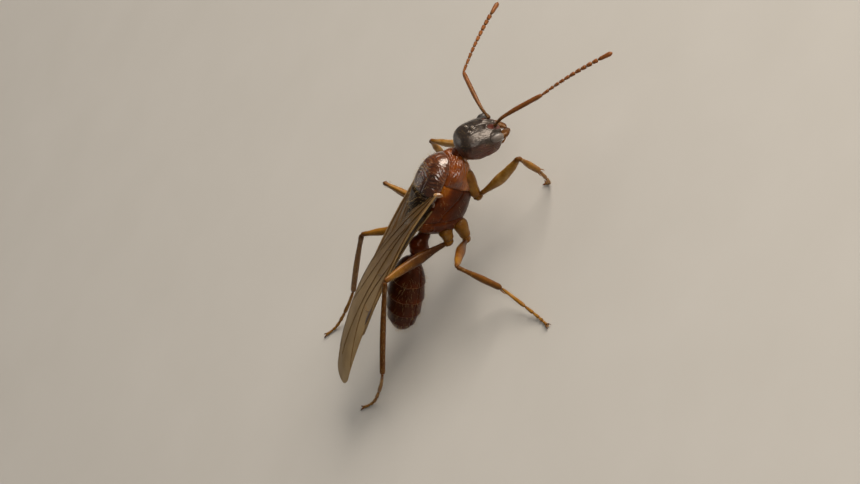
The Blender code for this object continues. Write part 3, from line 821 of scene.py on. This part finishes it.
for side, name in ((-1, "right"), (1, "left")):
    x, y, z = TEGULA_PLACE
    cap = egg(TEGULA_HALF, 2.2, 5)
    # Painted highlight: each cap is paler on its upper side.
    paint(cap, lambda place: 0.7 + 0.3 * step(-0.05, 0.15, place.z))
    cap.transform(BODY @ Matrix.Translation((x, side * y, z))
                  @ Matrix.Rotation(radians(side * 24), 4, "X") @ Matrix.Rotation(radians(-14), 4, "Y"))
    hinges = [cap]
    for x, y, z, size in HINGE_KNOBS:
        knob = egg((size * 1.5, size * 0.6, size * 0.8), 2.2, 4)
        paint(knob, 0.2)
        knob.transform(BODY @ Matrix.Translation((x, side * y, z)))
        hinges.append(knob)
    finish("tegula_" + name, join(*hinges), cap_cuticle, "back_plate")
print("wing caps: 2, hinge plates:", 2 * len(HINGE_KNOBS))

# %% [markdown]
# ## The waist
#
# Ants are told from wasps by the petiole: a narrow stalk that rises to a node and lets the gaster
# swing. It is a limb with a swelling in its middle and fine rings at each joint.

# %% Petiole
PETIOLE = ((-2.2, 0.0, 0.35), (-2.75, 0.0, 0.42), (-3.35, 0.0, 0.57), (-3.95, 0.0, 0.53), (-4.5, 0.0, 0.55))
PETIOLE_RADII = ((0, 0.3), (0.12, 0.34), (0.24, 0.36), (0.5, 0.6), (0.66, 0.46), (0.78, 0.34), (0.88, 0.36),
                 (1, 0.3))


def petiole_shape(share, angle):
    """Higher at the node, and ringed where it leaves the thorax."""
    return 1 + 0.1 * hump(share - 0.5, 0.16) * sin(angle) + 0.012 * sin(150 * share) * step(0.3, 0.2, share)


petiole = limb(in_frame(BODY, PETIOLE), PETIOLE_RADII,
               ((0, 0.1), (0.25, 0.3), (0.5, 0.42), (0.8, 0.25), (1, 0.1)), sides=40, rings=72, flat=0.95,
               shape=petiole_shape)
finish("petiole_node", petiole, side_cuticle, "waist", "petiole")

# %% [markdown]
# ## The gaster
#
# The gaster is a telescope of ring plates, each slipping under the one in front of it, so that it
# can swell with eggs. Two things say that: the step where each plate ends, and the thin pale band
# along that rear edge, where the cuticle is too thin to be dark. Both are worked out from how far a
# point is along its own ring.

# %% Gaster rings
GASTER_HALF = (2.45, 1.15, 1.0)
GASTER_SEAMS = (0.95, -0.1, -1.05, -1.8)
RING_EDGES = (GASTER_HALF[0], *GASTER_SEAMS, -GASTER_HALF[0])
RINGS = len(RING_EDGES) - 1


def ring_share(x):
    """How far along its own ring a place is, 0 at the ring's front edge and 1 at its rear."""
    for front, rear in zip(RING_EDGES, RING_EDGES[1:]):
        if x >= rear:
            return max(0.0, (front - x) / (front - rear))
    return 1.0


def gaster_lift(place):
    """Each ring rises to its rear edge, a groove follows, and a fold runs along the side."""
    share = ring_share(place.x)
    seam = min(abs(place.x - edge) for edge in GASTER_SEAMS)
    lift = 0.075 * share ** 2.5 * step(-2.3, -1.9, place.x) - 0.05 * hump(seam, 0.035) - 0.02
    side_fold = hump(place.z + 0.28 + 0.05 * place.x, 0.04) * step(0.5, 0.8, abs(place.y))
    lift -= 0.05 * side_fold
    return lift + 0.02 * noise.noise(place * 1.4) + 0.004 * noise.noise(place * 8)


def gaster_tone(place):
    """Each ring pales towards its rear edge, where its thin band is palest."""
    share = ring_share(place.x)
    tone = 0.22 + 0.15 * step(0.5, 0.9, share) + 0.55 * step(0.93, 0.985, share)
    tone += 0.2 * hump(place.x + 0.3, 0.9) * step(0.4, -0.4, place.z)
    return tone + 0.25 * step(-1.4, -2.3, place.x)


# %% Sculpt the gaster and part its rings
gaster = egg(GASTER_HALF, 2.15, 7)
sculpt(gaster, gaster_lift)
paint(gaster, gaster_tone)
GASTER_SKIN = [(GASTER @ vertex.co, (GASTER.to_3x3() @ vertex.normal).normalized(), vertex.co.copy())
               for vertex in gaster.verts]
for number, (front, rear) in enumerate(zip(RING_EDGES, RING_EDGES[1:]), 1):
    ring = copy_of(gaster)
    if number > 1:
        keep_side(ring, Vector((front, 0, 0)), Vector((-1, 0, 0)))
    if number < RINGS:
        keep_side(ring, Vector((rear, 0, 0)), Vector((1, 0, 0)))
    ring.transform(GASTER)
    finish("gaster_ring_%d" % number, ring, gaster_cuticle, "gaster", "gaster_%d" % number)
gaster.free()
print("gaster rings:", RINGS)

# %% [markdown]
# ## Legs
#
# Each leg has a stout coxa, a small ring called the trochanter, a femur that swells with muscle, a
# slimmer tibia with a spur at its end, and five foot segments with two claws. Each is a limb along
# its own line, and the leg's numbers are only lengths and headings, so all six come from one loop.

# %% Leg sizes and stances
# Root and hip: the two ends of the coxa, in the body's frame. Femur: its length, its heading outward
# from the ant's front and its rise, in degrees, and how far it bows. Tibia: the same without a bow.
# Foot: length and outward heading.
LEGS = {
    "front_right": ((2.03, -0.65, -0.53), (0.42, -0.8, -1.75),
                    (4.18, 27, 12, -0.2), (2.2, 249, -75), (2.64, 240)),
    "middle_right": ((-1.1, -0.7, -1.0), (-2.3, -0.8, -1.85),
                     (3.95, 101, 29, 0.1), (3.0, 64, -76), (4.0, 81)),
    "hind_right": ((-1.7, -0.6, -0.3), (-2.53, -0.8, -0.86),
                   (4.74, 155, 39, 0.1), (6.1, 174, -36), (4.7, 215)),
    "front_left": ((2.03, 0.65, -0.53), (2.5, 1.35, -2.2),
                   (4.18, 121, 4, -0.2), (2.2, 128, -62), (2.64, 100)),
    "middle_left": ((-1.1, 0.7, -1.0), (-2.1, 1.0, -1.85),
                    (4.6, 111, 56, 0.1), (3.2, 110, -78), (4.0, 118)),
    "hind_left": ((-1.7, 0.6, -0.3), (-2.53, 0.8, -0.86),
                  (4.6, 148, 32, 0.1), (6.0, 152, -38), (4.5, 158)),
}
# Painted shading of the legs' tone: the middle and hind legs are darkened as painted shade, as if the body
# shadowed them, and the front ones made a little paler.
RIGHT_PAINTED_SHADING = {"front": 0.06, "middle": -0.48, "hind": -0.62}     # the rear legs are darker
# The left legs are painted paler, as if lit from above, and get only part of the right legs' painted shade.
LEFT_PAINTED_SHADING = {place: 0.15 + 0.6 * painted_shading for place, painted_shading in RIGHT_PAINTED_SHADING.items()}
SLENDER = {"front": (1.0, 1.0), "middle": (0.86, 1.0), "hind": (1.0, 0.76)}     # femur and tibia
FEMUR_RADII = ((0, 0.13), (0.08, 0.17), (0.45, 0.345), (0.72, 0.28), (0.92, 0.18), (1, 0.16))
FOOT_SHARES = (0, 0.25, 0.5, 0.7, 0.85, 1.0)      # the foot's line: how far along it, and how high
FOOT_HEIGHTS = (1, 0.62, 0.3, 0.08, 0, 0)
FOOT_MIDDLE = 0.1
FOOT_STEPS = 200
TARSOMERES = ((0.0, 0.47), (0.47, 0.64), (0.64, 0.76), (0.76, 0.85), (0.85, 0.975))
TARSOMERE_RADII = (0.115, 0.105, 0.1, 0.095, 0.085)
LEG_SKIN = []           # lines and radii that the down is planted along


def foot_path(ankle, length, outward, side):
    """From the ankle down to the floor, with the last part flat on it."""
    drop = ankle.z - FOOT_MIDDLE
    run = heading(outward, 0, side) * length * sqrt(1 - (drop / length) ** 2)
    return [ankle + run * share - Vector((0, 0, drop * (1 - height)))
            for share, height in zip(FOOT_SHARES, FOOT_HEIGHTS)]


# %% Upper leg
def hip_ring(root, hip, toward):
    """The trochanter, which joins the coxa to the femur."""
    return limb((hip - (hip - root).normalized() * 0.16, hip, hip + toward * 0.42),
                ((0, 0.18), (0.45, 0.24), (0.8, 0.2), (1, 0.13)), ((0, 0.2), (0.5, 0.5), (1, 0.3)),
                sides=20, rings=24)


def thigh(hip, knee, bow, stout, painted_shading, lean):
    """The femur, which swells with muscle before its middle."""
    toward = (knee - hip).normalized()
    # The leg's painted shading darkens or pales the femur, and fades out towards the knee.
    return limb(bowed(hip + toward * 0.3, knee + toward * 0.06, bow),
                [(share, radius * stout) for share, radius in FEMUR_RADII],
                ((0, 0.15), (0.12, 0.5 + painted_shading), (0.5, 0.72 + painted_shading), (0.86, 0.7 + painted_shading / 4), (0.97, 0.3),
                 (1, 0.2)), sides=24, rings=56, across=lean, flat=0.72)


def shin(knee, ankle, slim, painted_shading, lean):
    """The tibia, which widens towards the foot."""
    # The tibia takes half to seven tenths of the leg's painted shading.
    return limb(bowed(knee, ankle, 0.05),
                ((0, 0.12), (0.05, 0.16), (0.13, 0.14), (0.58, 0.235 * slim), (0.9, 0.22 * slim),
                 (1, 0.16)),
                ((0, 0.15), (0.1, 0.5 + painted_shading / 2), (0.5, 0.65 + painted_shading * 0.7), (0.95, 0.5 + painted_shading / 2),
                 (1, 0.3)), sides=20, rings=56, across=lean, flat=0.85)


def spur(ankle, down, out):
    """A movable spine at the tibia's end."""
    start = ankle - down * 0.06 + out * 0.1
    return limb((start, start + down * 0.25 + out * 0.07, start + down * 0.5 + out * 0.08),
                ((0, 0.045), (0.5, 0.03), (1, 0.008)), ((0, 0.5), (1, 0.8)), sides=8, rings=14)


# %% Foot
def foot_segments(path, lean):
    """Five segments, each a slender trumpet that widens to its far end."""
    segments = []
    for (first, last), width in zip(TARSOMERES, TARSOMERE_RADII):
        low, high = int(first * FOOT_STEPS), int(last * FOOT_STEPS)
        line = path[low], path[(low + high) // 2], path[high]
        segments.append(limb(
            line, ((0, width * 0.6), (0.25, width * 0.8), (0.85, width), (1, width * 0.75)),
            ((0, 0.35), (0.3, 0.7), (1, 0.55)), sides=14, rings=14 if segments else 28, across=lean))
    return segments


def claws_and_pad(path, lean):
    """Two claws that hook down to the floor, and between them the soft pad that sticks to it."""
    up = Vector((0, 0, 1))
    end = path[int(TARSOMERES[-1][1] * FOOT_STEPS)]
    onward = (path[FOOT_STEPS] - path[FOOT_STEPS - 10]).normalized()
    parts = []
    for turn in (-1, 1):
        out = lean * turn
        claw = (end - onward * 0.05 + out * 0.03, end + onward * 0.12 + out * 0.1 + up * 0.03,
                end + onward * 0.22 + out * 0.14, end + onward * 0.25 + out * 0.15 - up * 0.07)
        parts.append(limb(claw, ((0, 0.05), (0.4, 0.04), (1, 0.01)), ((0, 0.4), (1, 0.0)),
                          sides=8, rings=20))
    pad = egg((0.07, 0.06, 0.035), 2.0, 3)
    paint(pad, 0.9)
    pad.transform(Matrix.Translation(end + onward * 0.12 - up * 0.03))
    return parts + [pad]


# %% Build the six legs
for leg, (root, hip, femur, tibia, tarsus) in LEGS.items():
    pair, side = leg.split("_")[0], -1 if leg.endswith("right") else 1
    # How much painted light or painted shade this leg's tone gets.
    painted_shading = (RIGHT_PAINTED_SHADING if side < 0 else LEFT_PAINTED_SHADING)[pair]
    stout, slim = SLENDER[pair]
    root, hip = BODY @ Vector(root), BODY @ Vector(hip)
    knee = hip + heading(*femur[1:3], side) * femur[0]
    ankle = knee + heading(*tibia[1:], side) * tibia[0]
    foot = foot_path(ankle, *tarsus, side)
    toward, down = (knee - hip).normalized(), (ankle - knee).normalized()
    # Flat limbs are widest across their own heading.
    leans = [heading(outward + 90, 0, side) for outward in (femur[1], tibia[1], tarsus[1])]

    coxa = limb(bowed(root, hip, 0.0), ((0, 0.4), (0.3, 0.43), (0.75, 0.33), (1, 0.22)),
                ((0, 0.35), (0.6, 0.55), (0.93, 0.45), (1, 0.2)), sides=28, rings=44)
    finish("coxa_shell_" + leg, coxa, amber_cuticle, "leg", "coxa_" + leg)
    finish("trochanter_" + leg, hip_ring(root, hip, toward), amber_cuticle, "leg")
    finish("femur_shell_" + leg, thigh(hip, knee, femur[3], stout, painted_shading, leans[0]), amber_cuticle,
           "leg", "femur_" + leg)
    turns = (-1, 1) if pair == "front" else (1,)
    spurs = [spur(ankle, down, leans[1] * turn) for turn in turns]
    finish("tibia_shell_" + leg, join(shin(knee, ankle, slim, painted_shading, leans[1]), *spurs), amber_cuticle,
           "leg", "tibia_" + leg)
    path = curve_through(foot, FOOT_STEPS)[0]
    finish("foot_" + leg, join(*foot_segments(path, leans[2]), *claws_and_pad(path, leans[2])),
           amber_cuticle, "leg", "tarsus_" + leg)
    LEG_SKIN += [(bowed(root, hip, 0.0), 0.36), (bowed(hip, knee, femur[3]), 0.25),
                 (bowed(knee, ankle, 0.05), 0.17), (foot, 0.095)]
print("legs:", len(LEGS), "with", len(TARSOMERES), "foot segments each")

# %% [markdown]
# ## Wings
#
# A queen's wings are two pairs of dry clear sheets on a frame of tubes. At rest they lie folded back
# over the gaster, the fore pair on top. The sheet is a grid laid from hinge to tip, thin enough to
# let light through, and each vein is a fine tube laid on the same curved sheet at a stated place
# along and across it, so sheet and veins can't part.

# %% The curved sheet that each wing lies on
# Hinge, the tip's x and y, how far the leading edge bows out, width added along the middle, layer at
# the hinge and at the tip, and width at the tip. Layers are counted down from the topmost wing.
WINGS = {
    "forewing_right": ((0.75, -1.32, 1.05), (-12.38, -1.05), 0.2, 1.45, 0, 0, 1.45),
    "forewing_left": ((0.75, 1.32, 1.05), (-12.1, 0.9), 0.1, 1.45, 1, 1, 0.8),
    "hindwing_right": ((-0.35, -1.2, 0.95), (-9.4, -0.4), -0.1, 0.5, 1, 2, 0.7),
    "hindwing_left": ((-0.35, 1.25, 0.45), (-9.4, 1.05), 0.1, 0.3, 2, 2.4, 0.7),
}
HINGE_SLOPE = 7.0       # the sheet has left its hinge's height after a seventh of the wing
LAYER_CHANGE = 4.5      # and has moved to its outer layer after this fraction of it
LAYER_DEPTH = 0.32      # the sheets are thinner than the solids, and lie closer
WING_CREST = 3.28       # height of the top layer where it is highest, and where along the body that is
WING_CREST_X = -10.5
WING_CURVE = 0.0145     # how fast it falls away from there, along the body and across it
WING_ARCH = 0.06
ROUND_FROM = 0.955      # the tip's round end starts at this share of the wing
SHEET = 0.03            # real membrane is ten times thinner, which a solid print can't be


def crest_height(x, y, layer):
    """Height of a layer of the folded wings, which is arched like a roof tile."""
    return WING_CREST - WING_CURVE * (x - WING_CREST_X) ** 2 - WING_ARCH * y * y - layer * LAYER_DEPTH


def on_wing(wing, out, across, proud=0.0):
    """A point of the sheet: out runs from hinge to tip, across from leading to rear edge."""
    hinge, tip, bow, chord, root_layer, tip_layer, tip_chord = WINGS[wing]
    side = -1 if wing.endswith("right") else 1
    x = hinge[0] + (tip[0] - hinge[0]) * out
    lead = hinge[1] + (tip[1] - hinge[1]) * out + side * bow * sin(pi * min(1.0, out * 1.1))
    width = 0.35 * (1 - out) + chord * sin(pi * min(1.0, out ** 1.15)) ** 0.9 + tip_chord * out
    rounding = sqrt(max(0.0, 1 - max(0.0, (out - ROUND_FROM) / (1 - ROUND_FROM)) ** 2))
    y = lead - side * width * (0.35 * (1 - rounding) + across * rounding)
    layer = root_layer + (tip_layer - root_layer) * min(1.0, out * LAYER_CHANGE)
    root_lift = hinge[2] - crest_height(hinge[0], hinge[1], root_layer)
    z = crest_height(x, y, layer) + root_lift * max(0.0, 1 - out * HINGE_SLOPE)
    pleat = 0.02 * sin(2 * pi * across * 2.4) * step(1.0, 0.4, out) * step(0.05, 0.35, out)
    return BODY @ Vector((x, y, z + pleat + proud))


# %% Membranes
def sheet_tone(out, across):
    """Dark at the hinge, paler outwards, with a painted highlight over the leading half towards the tip,
    and palest along the leading edge.
    """
    # Painted highlight: the leading half of the sheet is paler towards the tip.
    front = 0.22 * step(0.55, 0.25, across) * step(0.45, 0.7, out)
    edge = 0.2 * step(0.1, 0.0, across) * step(0.3, 0.6, out)
    return 0.15 + 0.6 * step(0.05, 0.6, out) + front + edge


for wing in WINGS:
    sheet = bmesh.new()
    bmesh.ops.create_grid(sheet, x_segments=110, y_segments=18, size=0.5)
    layer = sheet.verts.layers.float.new("tone")
    for vertex in sheet.verts:
        out, across = sin(pi / 2 * (vertex.co.x + 0.5)), vertex.co.y + 0.5     # finer towards the tip
        vertex[layer] = sheet_tone(out, across)
        vertex.co = on_wing(wing, min(out, 0.9995), across)
    bmesh.ops.solidify(sheet, geom=sheet.faces[:], thickness=SHEET)
    finish(wing + "_sheet", sheet, membrane, "wing", wing)
print("wing sheets:", len(WINGS))

# %% Veins
# Each vein's radius at its root, and the places it runs through: out, and across.
FORE_VEINS = (
    (0.05, ((0.0, 0.02), (0.2, 0.01), (0.4, 0.0), (0.6, 0.0), (0.8, 0.0), (0.95, 0.0))),
    (0.055, ((0.0, 0.12), (0.2, 0.1), (0.4, 0.08), (0.56, 0.05), (0.63, 0.03))),
    (0.032, ((0.34, 0.09), (0.42, 0.2), (0.5, 0.3), (0.6, 0.36), (0.72, 0.3), (0.84, 0.14), (0.9, 0.02))),
    (0.03, ((0.6, 0.06), (0.61, 0.2), (0.6, 0.36))),
    (0.034, ((0.02, 0.3), (0.14, 0.32), (0.3, 0.42), (0.44, 0.44), (0.6, 0.5), (0.78, 0.62), (0.9, 0.72))),
    (0.026, ((0.42, 0.2), (0.43, 0.32), (0.44, 0.44))),
    (0.028, ((0.14, 0.32), (0.26, 0.54), (0.42, 0.68), (0.58, 0.84), (0.64, 0.93))),
    (0.026, ((0.3, 0.42), (0.31, 0.5), (0.32, 0.6))),
    (0.026, ((0.02, 0.6), (0.14, 0.72), (0.28, 0.84), (0.42, 0.93))),
    (0.018, ((0.1, 0.98), (0.3, 0.985), (0.55, 0.985), (0.8, 0.985), (0.93, 0.98))),
)
HIND_VEINS = (
    (0.045, ((0.0, 0.04), (0.25, 0.03), (0.5, 0.02), (0.75, 0.02), (0.93, 0.02))),
    (0.028, ((0.02, 0.3), (0.25, 0.36), (0.45, 0.42), (0.7, 0.5), (0.9, 0.6))),
    (0.024, ((0.25, 0.36), (0.3, 0.2), (0.36, 0.05))),
    (0.024, ((0.02, 0.6), (0.2, 0.72), (0.4, 0.9))),
)
for wing in WINGS:
    runs = []
    for number, (radius, route) in enumerate(FORE_VEINS if wing.startswith("fore") else HIND_VEINS):
        pale = 0.35 if number == 0 else 0.0       # the stout leading vein catches most light
        points = [on_wing(wing, out, across, SHEET / 2) for out, across in route]
        runs.append(limb(points, ((0, radius), (0.6, radius * 0.8), (1, radius * 0.5)),
                         ((0, 0.45 + pale), (0.5, 0.6 + pale / 2), (1, 0.68 + pale / 2)),
                         sides=8, rings=56))
    if wing.startswith("fore"):        # the dark spot that weights a forewing's leading edge
        spot = limb([on_wing(wing, out, 0.045, SHEET / 2) for out in (0.565, 0.6, 0.635, 0.67)],
                    ((0, 0.03), (0.4, 0.13), (0.7, 0.12), (1, 0.02)), ((0, 0.0), (1, 0.1)),
                    sides=12, rings=28, across=BODY.to_3x3() @ Vector((0, 0, 1)), flat=0.3)
        runs.append(spot)
    finish(wing + "_veins", join(*runs), vein_cuticle, "wing")
print("veins:", 2 * (len(FORE_VEINS) + len(HIND_VEINS)), "and 2 spots")

# %% [markdown]
# ## Hairs
#
# Ant hairs are stiff bristles: long ones stand up from the back of the head, thorax and gaster, and
# a short down lies close along the legs and feelers. Each is one thin curved horn of a few faces,
# made once and copied to many roots. A root is a point of the sculpted surface, and the hair leaves
# it along the surface's normal, leaning towards the tail. Random numbers are seeded, so the coat is
# the same every time.

# %% One hair
HAIR_TAPER = 0.9        # a hair's tip is a tenth of its root
HAIR_UNWRAP = 0.0015    # size of one hair on its coat's unwrap
BEND = 0.28             # how far a hair's tip has bent over, as a share of its length


def one_hair():
    """A three-sided horn one unit long and one unit thick."""
    bm = bmesh.new()
    bmesh.ops.create_cone(bm, cap_ends=True, segments=3, radius1=0.5, radius2=0.5, depth=1.0)
    bmesh.ops.translate(bm, verts=bm.verts, vec=(0, 0, 0.5))
    long_edges = [edge for edge in bm.edges if abs(edge.verts[0].co.z - edge.verts[1].co.z) > 0.5]
    bmesh.ops.subdivide_edges(bm, edges=long_edges, cuts=2, use_grid_fill=True)
    for vertex in bm.verts:
        height = vertex.co.z
        vertex.co.x *= 1 - HAIR_TAPER * height
        vertex.co.y *= 1 - HAIR_TAPER * height
        vertex.co.z = height - 0.1 * height ** 2
    unwrap = bm.loops.layers.uv.new("OFBake")
    for face in bm.faces:
        for loop in face.loops:
            loop[unwrap].uv = (loop.vert.co.x * HAIR_UNWRAP, loop.vert.co.z * HAIR_UNWRAP)
    paint(bm, lambda place: 0.3 + 0.7 * place.z)
    mesh = bpy.data.meshes.new("hair")
    bm.to_mesh(mesh)
    bm.free()
    return mesh


HAIR = one_hair()
print("faces of one hair:", len(HAIR.polygons))


# %% Plant it
def plant(coat, root, direction, lean, length, thickness, patch):
    """Set one hair in the coat, bent towards the lean, with its unwrap at its root's patch."""
    up = direction.normalized()
    forward = (lean - up * lean.dot(up)).normalized()
    side = up.cross(forward)
    hair = HAIR.copy()
    hair.transform(Matrix.Diagonal((thickness, thickness, length, 1)))
    for vertex in hair.vertices:
        vertex.co.x += BEND * length * (vertex.co.z / length) ** 2
    hair.transform(Matrix.Translation(root) @ Matrix((forward, side, up)).transposed().to_4x4())
    for loop in hair.uv_layers["OFBake"].data:
        loop.uv = (loop.uv[0] + patch[0], loop.uv[1] + patch[1])
    coat.from_mesh(hair)
    bpy.data.meshes.remove(hair)


def wrap_of(place, half_length):
    """A place on a plate's own unwrap: round it, and along it."""
    along = max(-1, min(1, place.x / half_length))
    return 0.5 + atan2(place.y, place.z) / (2 * pi) * 0.98, 0.5 + 0.49 * along


# %% Bristles of the head, thorax and gaster
def coat_on(name, skin, frame_matrix, half_length, count, where, length, slot, thickness, seed):
    """Plant a count of hairs on a sculpted surface, more thickly where the chance there is higher."""
    dice = random.Random(seed)
    tail = frame_matrix.to_3x3() @ Vector((-1, 0, 0))
    coat, planted = bmesh.new(), 0
    while planted < count:
        root, normal, place = dice.choice(skin)
        if dice.random() > where(place):
            continue
        lean = tail + Vector(dice.uniform(-0.35, 0.35) for _ in range(3))
        direction = normal + lean * dice.uniform(0.1, 0.45)
        plant(coat, root - normal * 0.01, direction, lean, length * dice.uniform(0.6, 1.25), thickness,
              wrap_of(place, half_length))
        planted += 1
    finish(name, coat, hair_chitin, slot)
    print(name, planted, "hairs")


def on_head(place):
    """No hairs on the eyes or in the nape, and most on the face."""
    eye = (Vector((place.x, abs(place.y), place.z)) - EYE_PLACE).length
    return 0.0 if eye < 0.42 or place.x < -1.1 else 0.35 + 0.65 * step(0.0, 0.5, place.z)


def on_thorax(place):
    """None round the wings' hinges or at either end, and most on the back."""
    if abs(place.y) > 0.9 and place.z > 0.8 and place.x < 1.1:
        return 0.0
    return 0.0 if place.x > 2.3 or place.x < -2.2 else 0.08 + 0.92 * step(0.4, 1.2, place.z)


def on_gaster(place):
    """A row along each ring's rear edge, and fewer between."""
    return 0.0 if place.x > 2.2 else 0.3 + 0.7 * step(0.6, 0.95, ring_share(place.x))


coat_on("hair_head", HEAD_SKIN, HEAD, 1.4, 240, on_head, 0.15, "head_shell", 0.009, seed=3)
coat_on("hair_thorax", THORAX_SKIN, BODY, 2.8, 480, on_thorax, 0.24, "side_plate", 0.011, seed=5)
coat_on("hair_gaster", GASTER_SKIN, GASTER, 2.6, 700, on_gaster, 0.26, "gaster", 0.012, seed=7)

# %% Down of the legs and feelers
DOWN_THICKNESS = 0.012
ROOT_CLEAR = 0.09       # no hair is rooted lower than this over the floor
TIP_CLEAR = 0.03        # and none ends lower than this


def down_on(name, skins, per_mm_of_limb, length, slot, seed):
    """Plant hairs all round limbs, leaning towards their ends."""
    dice = random.Random(seed)
    coat, planted = bmesh.new(), 0
    for number, (points, radius) in enumerate(skins):
        path, reach = curve_through(points, 100)
        for _ in range(int(reach * per_mm_of_limb)):
            at = dice.randint(3, 95)
            turn = dice.uniform(-pi, pi)
            along = (path[at + 2] - path[at - 2]).normalized()
            side = along.orthogonal().normalized()
            normal = side * cos(turn) + along.cross(side) * sin(turn)
            root = path[at] + normal * radius * 0.75
            if root.z < ROOT_CLEAR:
                continue
            direction = normal + along * dice.uniform(0.6, 1.5)
            size = length * dice.uniform(0.6, 1.3)
            if (root + direction.normalized() * size).z < TIP_CLEAR:
                continue
            round_limb = 0.5 + turn / (2 * pi)
            patch = ((number % 6 + 0.08 + 0.84 * round_limb) / 6,
                     (number // 6 + 0.1 + 0.8 * at / 100) / 5)
            plant(coat, root, direction, along, size, DOWN_THICKNESS, patch)
            planted += 1
    finish(name, coat, hair_chitin, slot)
    print(name, planted, "hairs")


down_on("hair_legs", LEG_SKIN, 34, 0.15, "leg", seed=11)
down_on("hair_feelers", FEELER_SKIN, 50, 0.09, "feeler", seed=13)

# %% [markdown]
# ## Floor, light and camera
#
# A glossy dark insect is lit as polished shoes are: one broad soft light from above makes one clear
# highlight on each plate, a small weak one beside the camera opens the shadows, a third from the far
# side shows the outline, and the pale floor does the rest. The camera looks steeply down on the ant's
# right side and is turned on its own axis, so that the ant climbs across the picture.

# %% Floor
FLOOR_HALF = 1.5        # metres

floor_bm = bmesh.new()
bmesh.ops.create_grid(floor_bm, x_segments=1, y_segments=1, size=FLOOR_HALF)
floor_mesh = bpy.data.meshes.new("floor")
floor_bm.to_mesh(floor_mesh)
floor_bm.free()
floor = bpy.data.objects.new("floor", floor_mesh)
bpy.context.scene.collection.objects.link(floor)

# Matt card scatters all its light, and its cloudy fibres keep a wide floor from looking computed.
paper = bpy.data.materials.new("matt pale card")
paper.use_nodes = True
place = add(paper.node_tree, "ShaderNodeTexCoord").outputs["Object"]
cloud = add(paper.node_tree, "ShaderNodeTexNoise", {"Scale": per_mm(6.0), "Detail": 3.0},
            {"Vector": place})
# Of a mix node's sockets, inputs 6 and 7 are the two colours, and output 2 is the mixed one.
shade = add(paper.node_tree, "ShaderNodeMix",
            {"data_type": "RGBA", 6: linear("c4c1bb"), 7: linear("cbc8c3")},
            {"Factor": cloud.outputs["Fac"]})
paper_shader = paper.node_tree.nodes["Principled BSDF"]
paper.node_tree.links.new(shade.outputs[2], paper_shader.inputs["Base Color"])
paper_shader.inputs["Roughness"].default_value = 0.8
floor_mesh.materials.append(paper)
print("floor:", 2 * FLOOR_HALF, "m wide")

# %% Camera
# The ways across, up and out of the picture, as the level frame sees them.
LOOK_RIGHT = Vector((0.6023, -0.3470, -0.7189)).normalized()
LOOK_UP = Vector((0.7559, 0.5373, 0.3739))
LOOK_UP = (LOOK_UP - LOOK_RIGHT * LOOK_UP.dot(LOOK_RIGHT)).normalized()
LOOK_BACK = LOOK_RIGHT.cross(LOOK_UP)
VIEW_WIDTH = 0.04816         # metres across the picture at the ant
DISTANCE = 0.150
AIM_LEFT = 0.000672          # metres from the thorax's middle to the picture's
AIM_DOWN = 0.002632

aim = TO_METRES @ Vector((0, 0, THORAX_HEIGHT)) - LOOK_RIGHT * AIM_LEFT - LOOK_UP * AIM_DOWN
lens = bpy.data.cameras.new("macro lens")
lens.sensor_width = 36.0
lens.lens = 36.0 * DISTANCE / VIEW_WIDTH
lens.clip_start, lens.clip_end = 0.001, 10.0
camera = bpy.data.objects.new("camera", lens)
camera.matrix_world = (Matrix.Translation(aim + LOOK_BACK * DISTANCE)
                       @ Matrix((LOOK_RIGHT, LOOK_UP, LOOK_BACK)).transposed().to_4x4())
bpy.context.scene.collection.objects.link(camera)
bpy.context.scene.camera = camera
print("lens, mm:", round(lens.lens, 1))


# %% Lights
def soft_light(name, direction, distance, size, power, colour):
    """A round soft box that faces the origin from that direction; lengths in metres, power in watts."""
    light = bpy.data.lights.new(name, "AREA")
    light.shape = "DISK"
    light.size = size
    light.energy = power
    light.color = linear(colour)[:3]
    holder = bpy.data.objects.new(name, light)
    direction = direction.normalized()
    holder.matrix_world = (Matrix.Translation(direction * distance)
                           @ direction.to_track_quat("Z", "Y").to_matrix().to_4x4())
    bpy.context.scene.collection.objects.link(holder)


SKY_STRENGTH = 0.14

soft_light("key", LOOK_UP * 0.85 + LOOK_BACK * 0.5 + LOOK_RIGHT * 0.12, 0.3, 0.24, 1.25, "fff4e6")
soft_light("front", LOOK_BACK + LOOK_UP * 0.08 - LOOK_RIGHT * 0.05, 0.34, 0.12, 0.2, "fffaf2")
soft_light("rim", Vector((-0.6, 0.9, 0.7)), 0.4, 0.25, 0.15, "fff8f0")
world = bpy.data.worlds.new("studio")
world.use_nodes = True
bpy.context.scene.world = world
world.node_tree.nodes["Background"].inputs["Color"].default_value = linear("dcdad6")
world.node_tree.nodes["Background"].inputs["Strength"].default_value = SKY_STRENGTH
bpy.context.scene.view_settings.view_transform = "Standard"
print("lights:", len(bpy.data.lights))
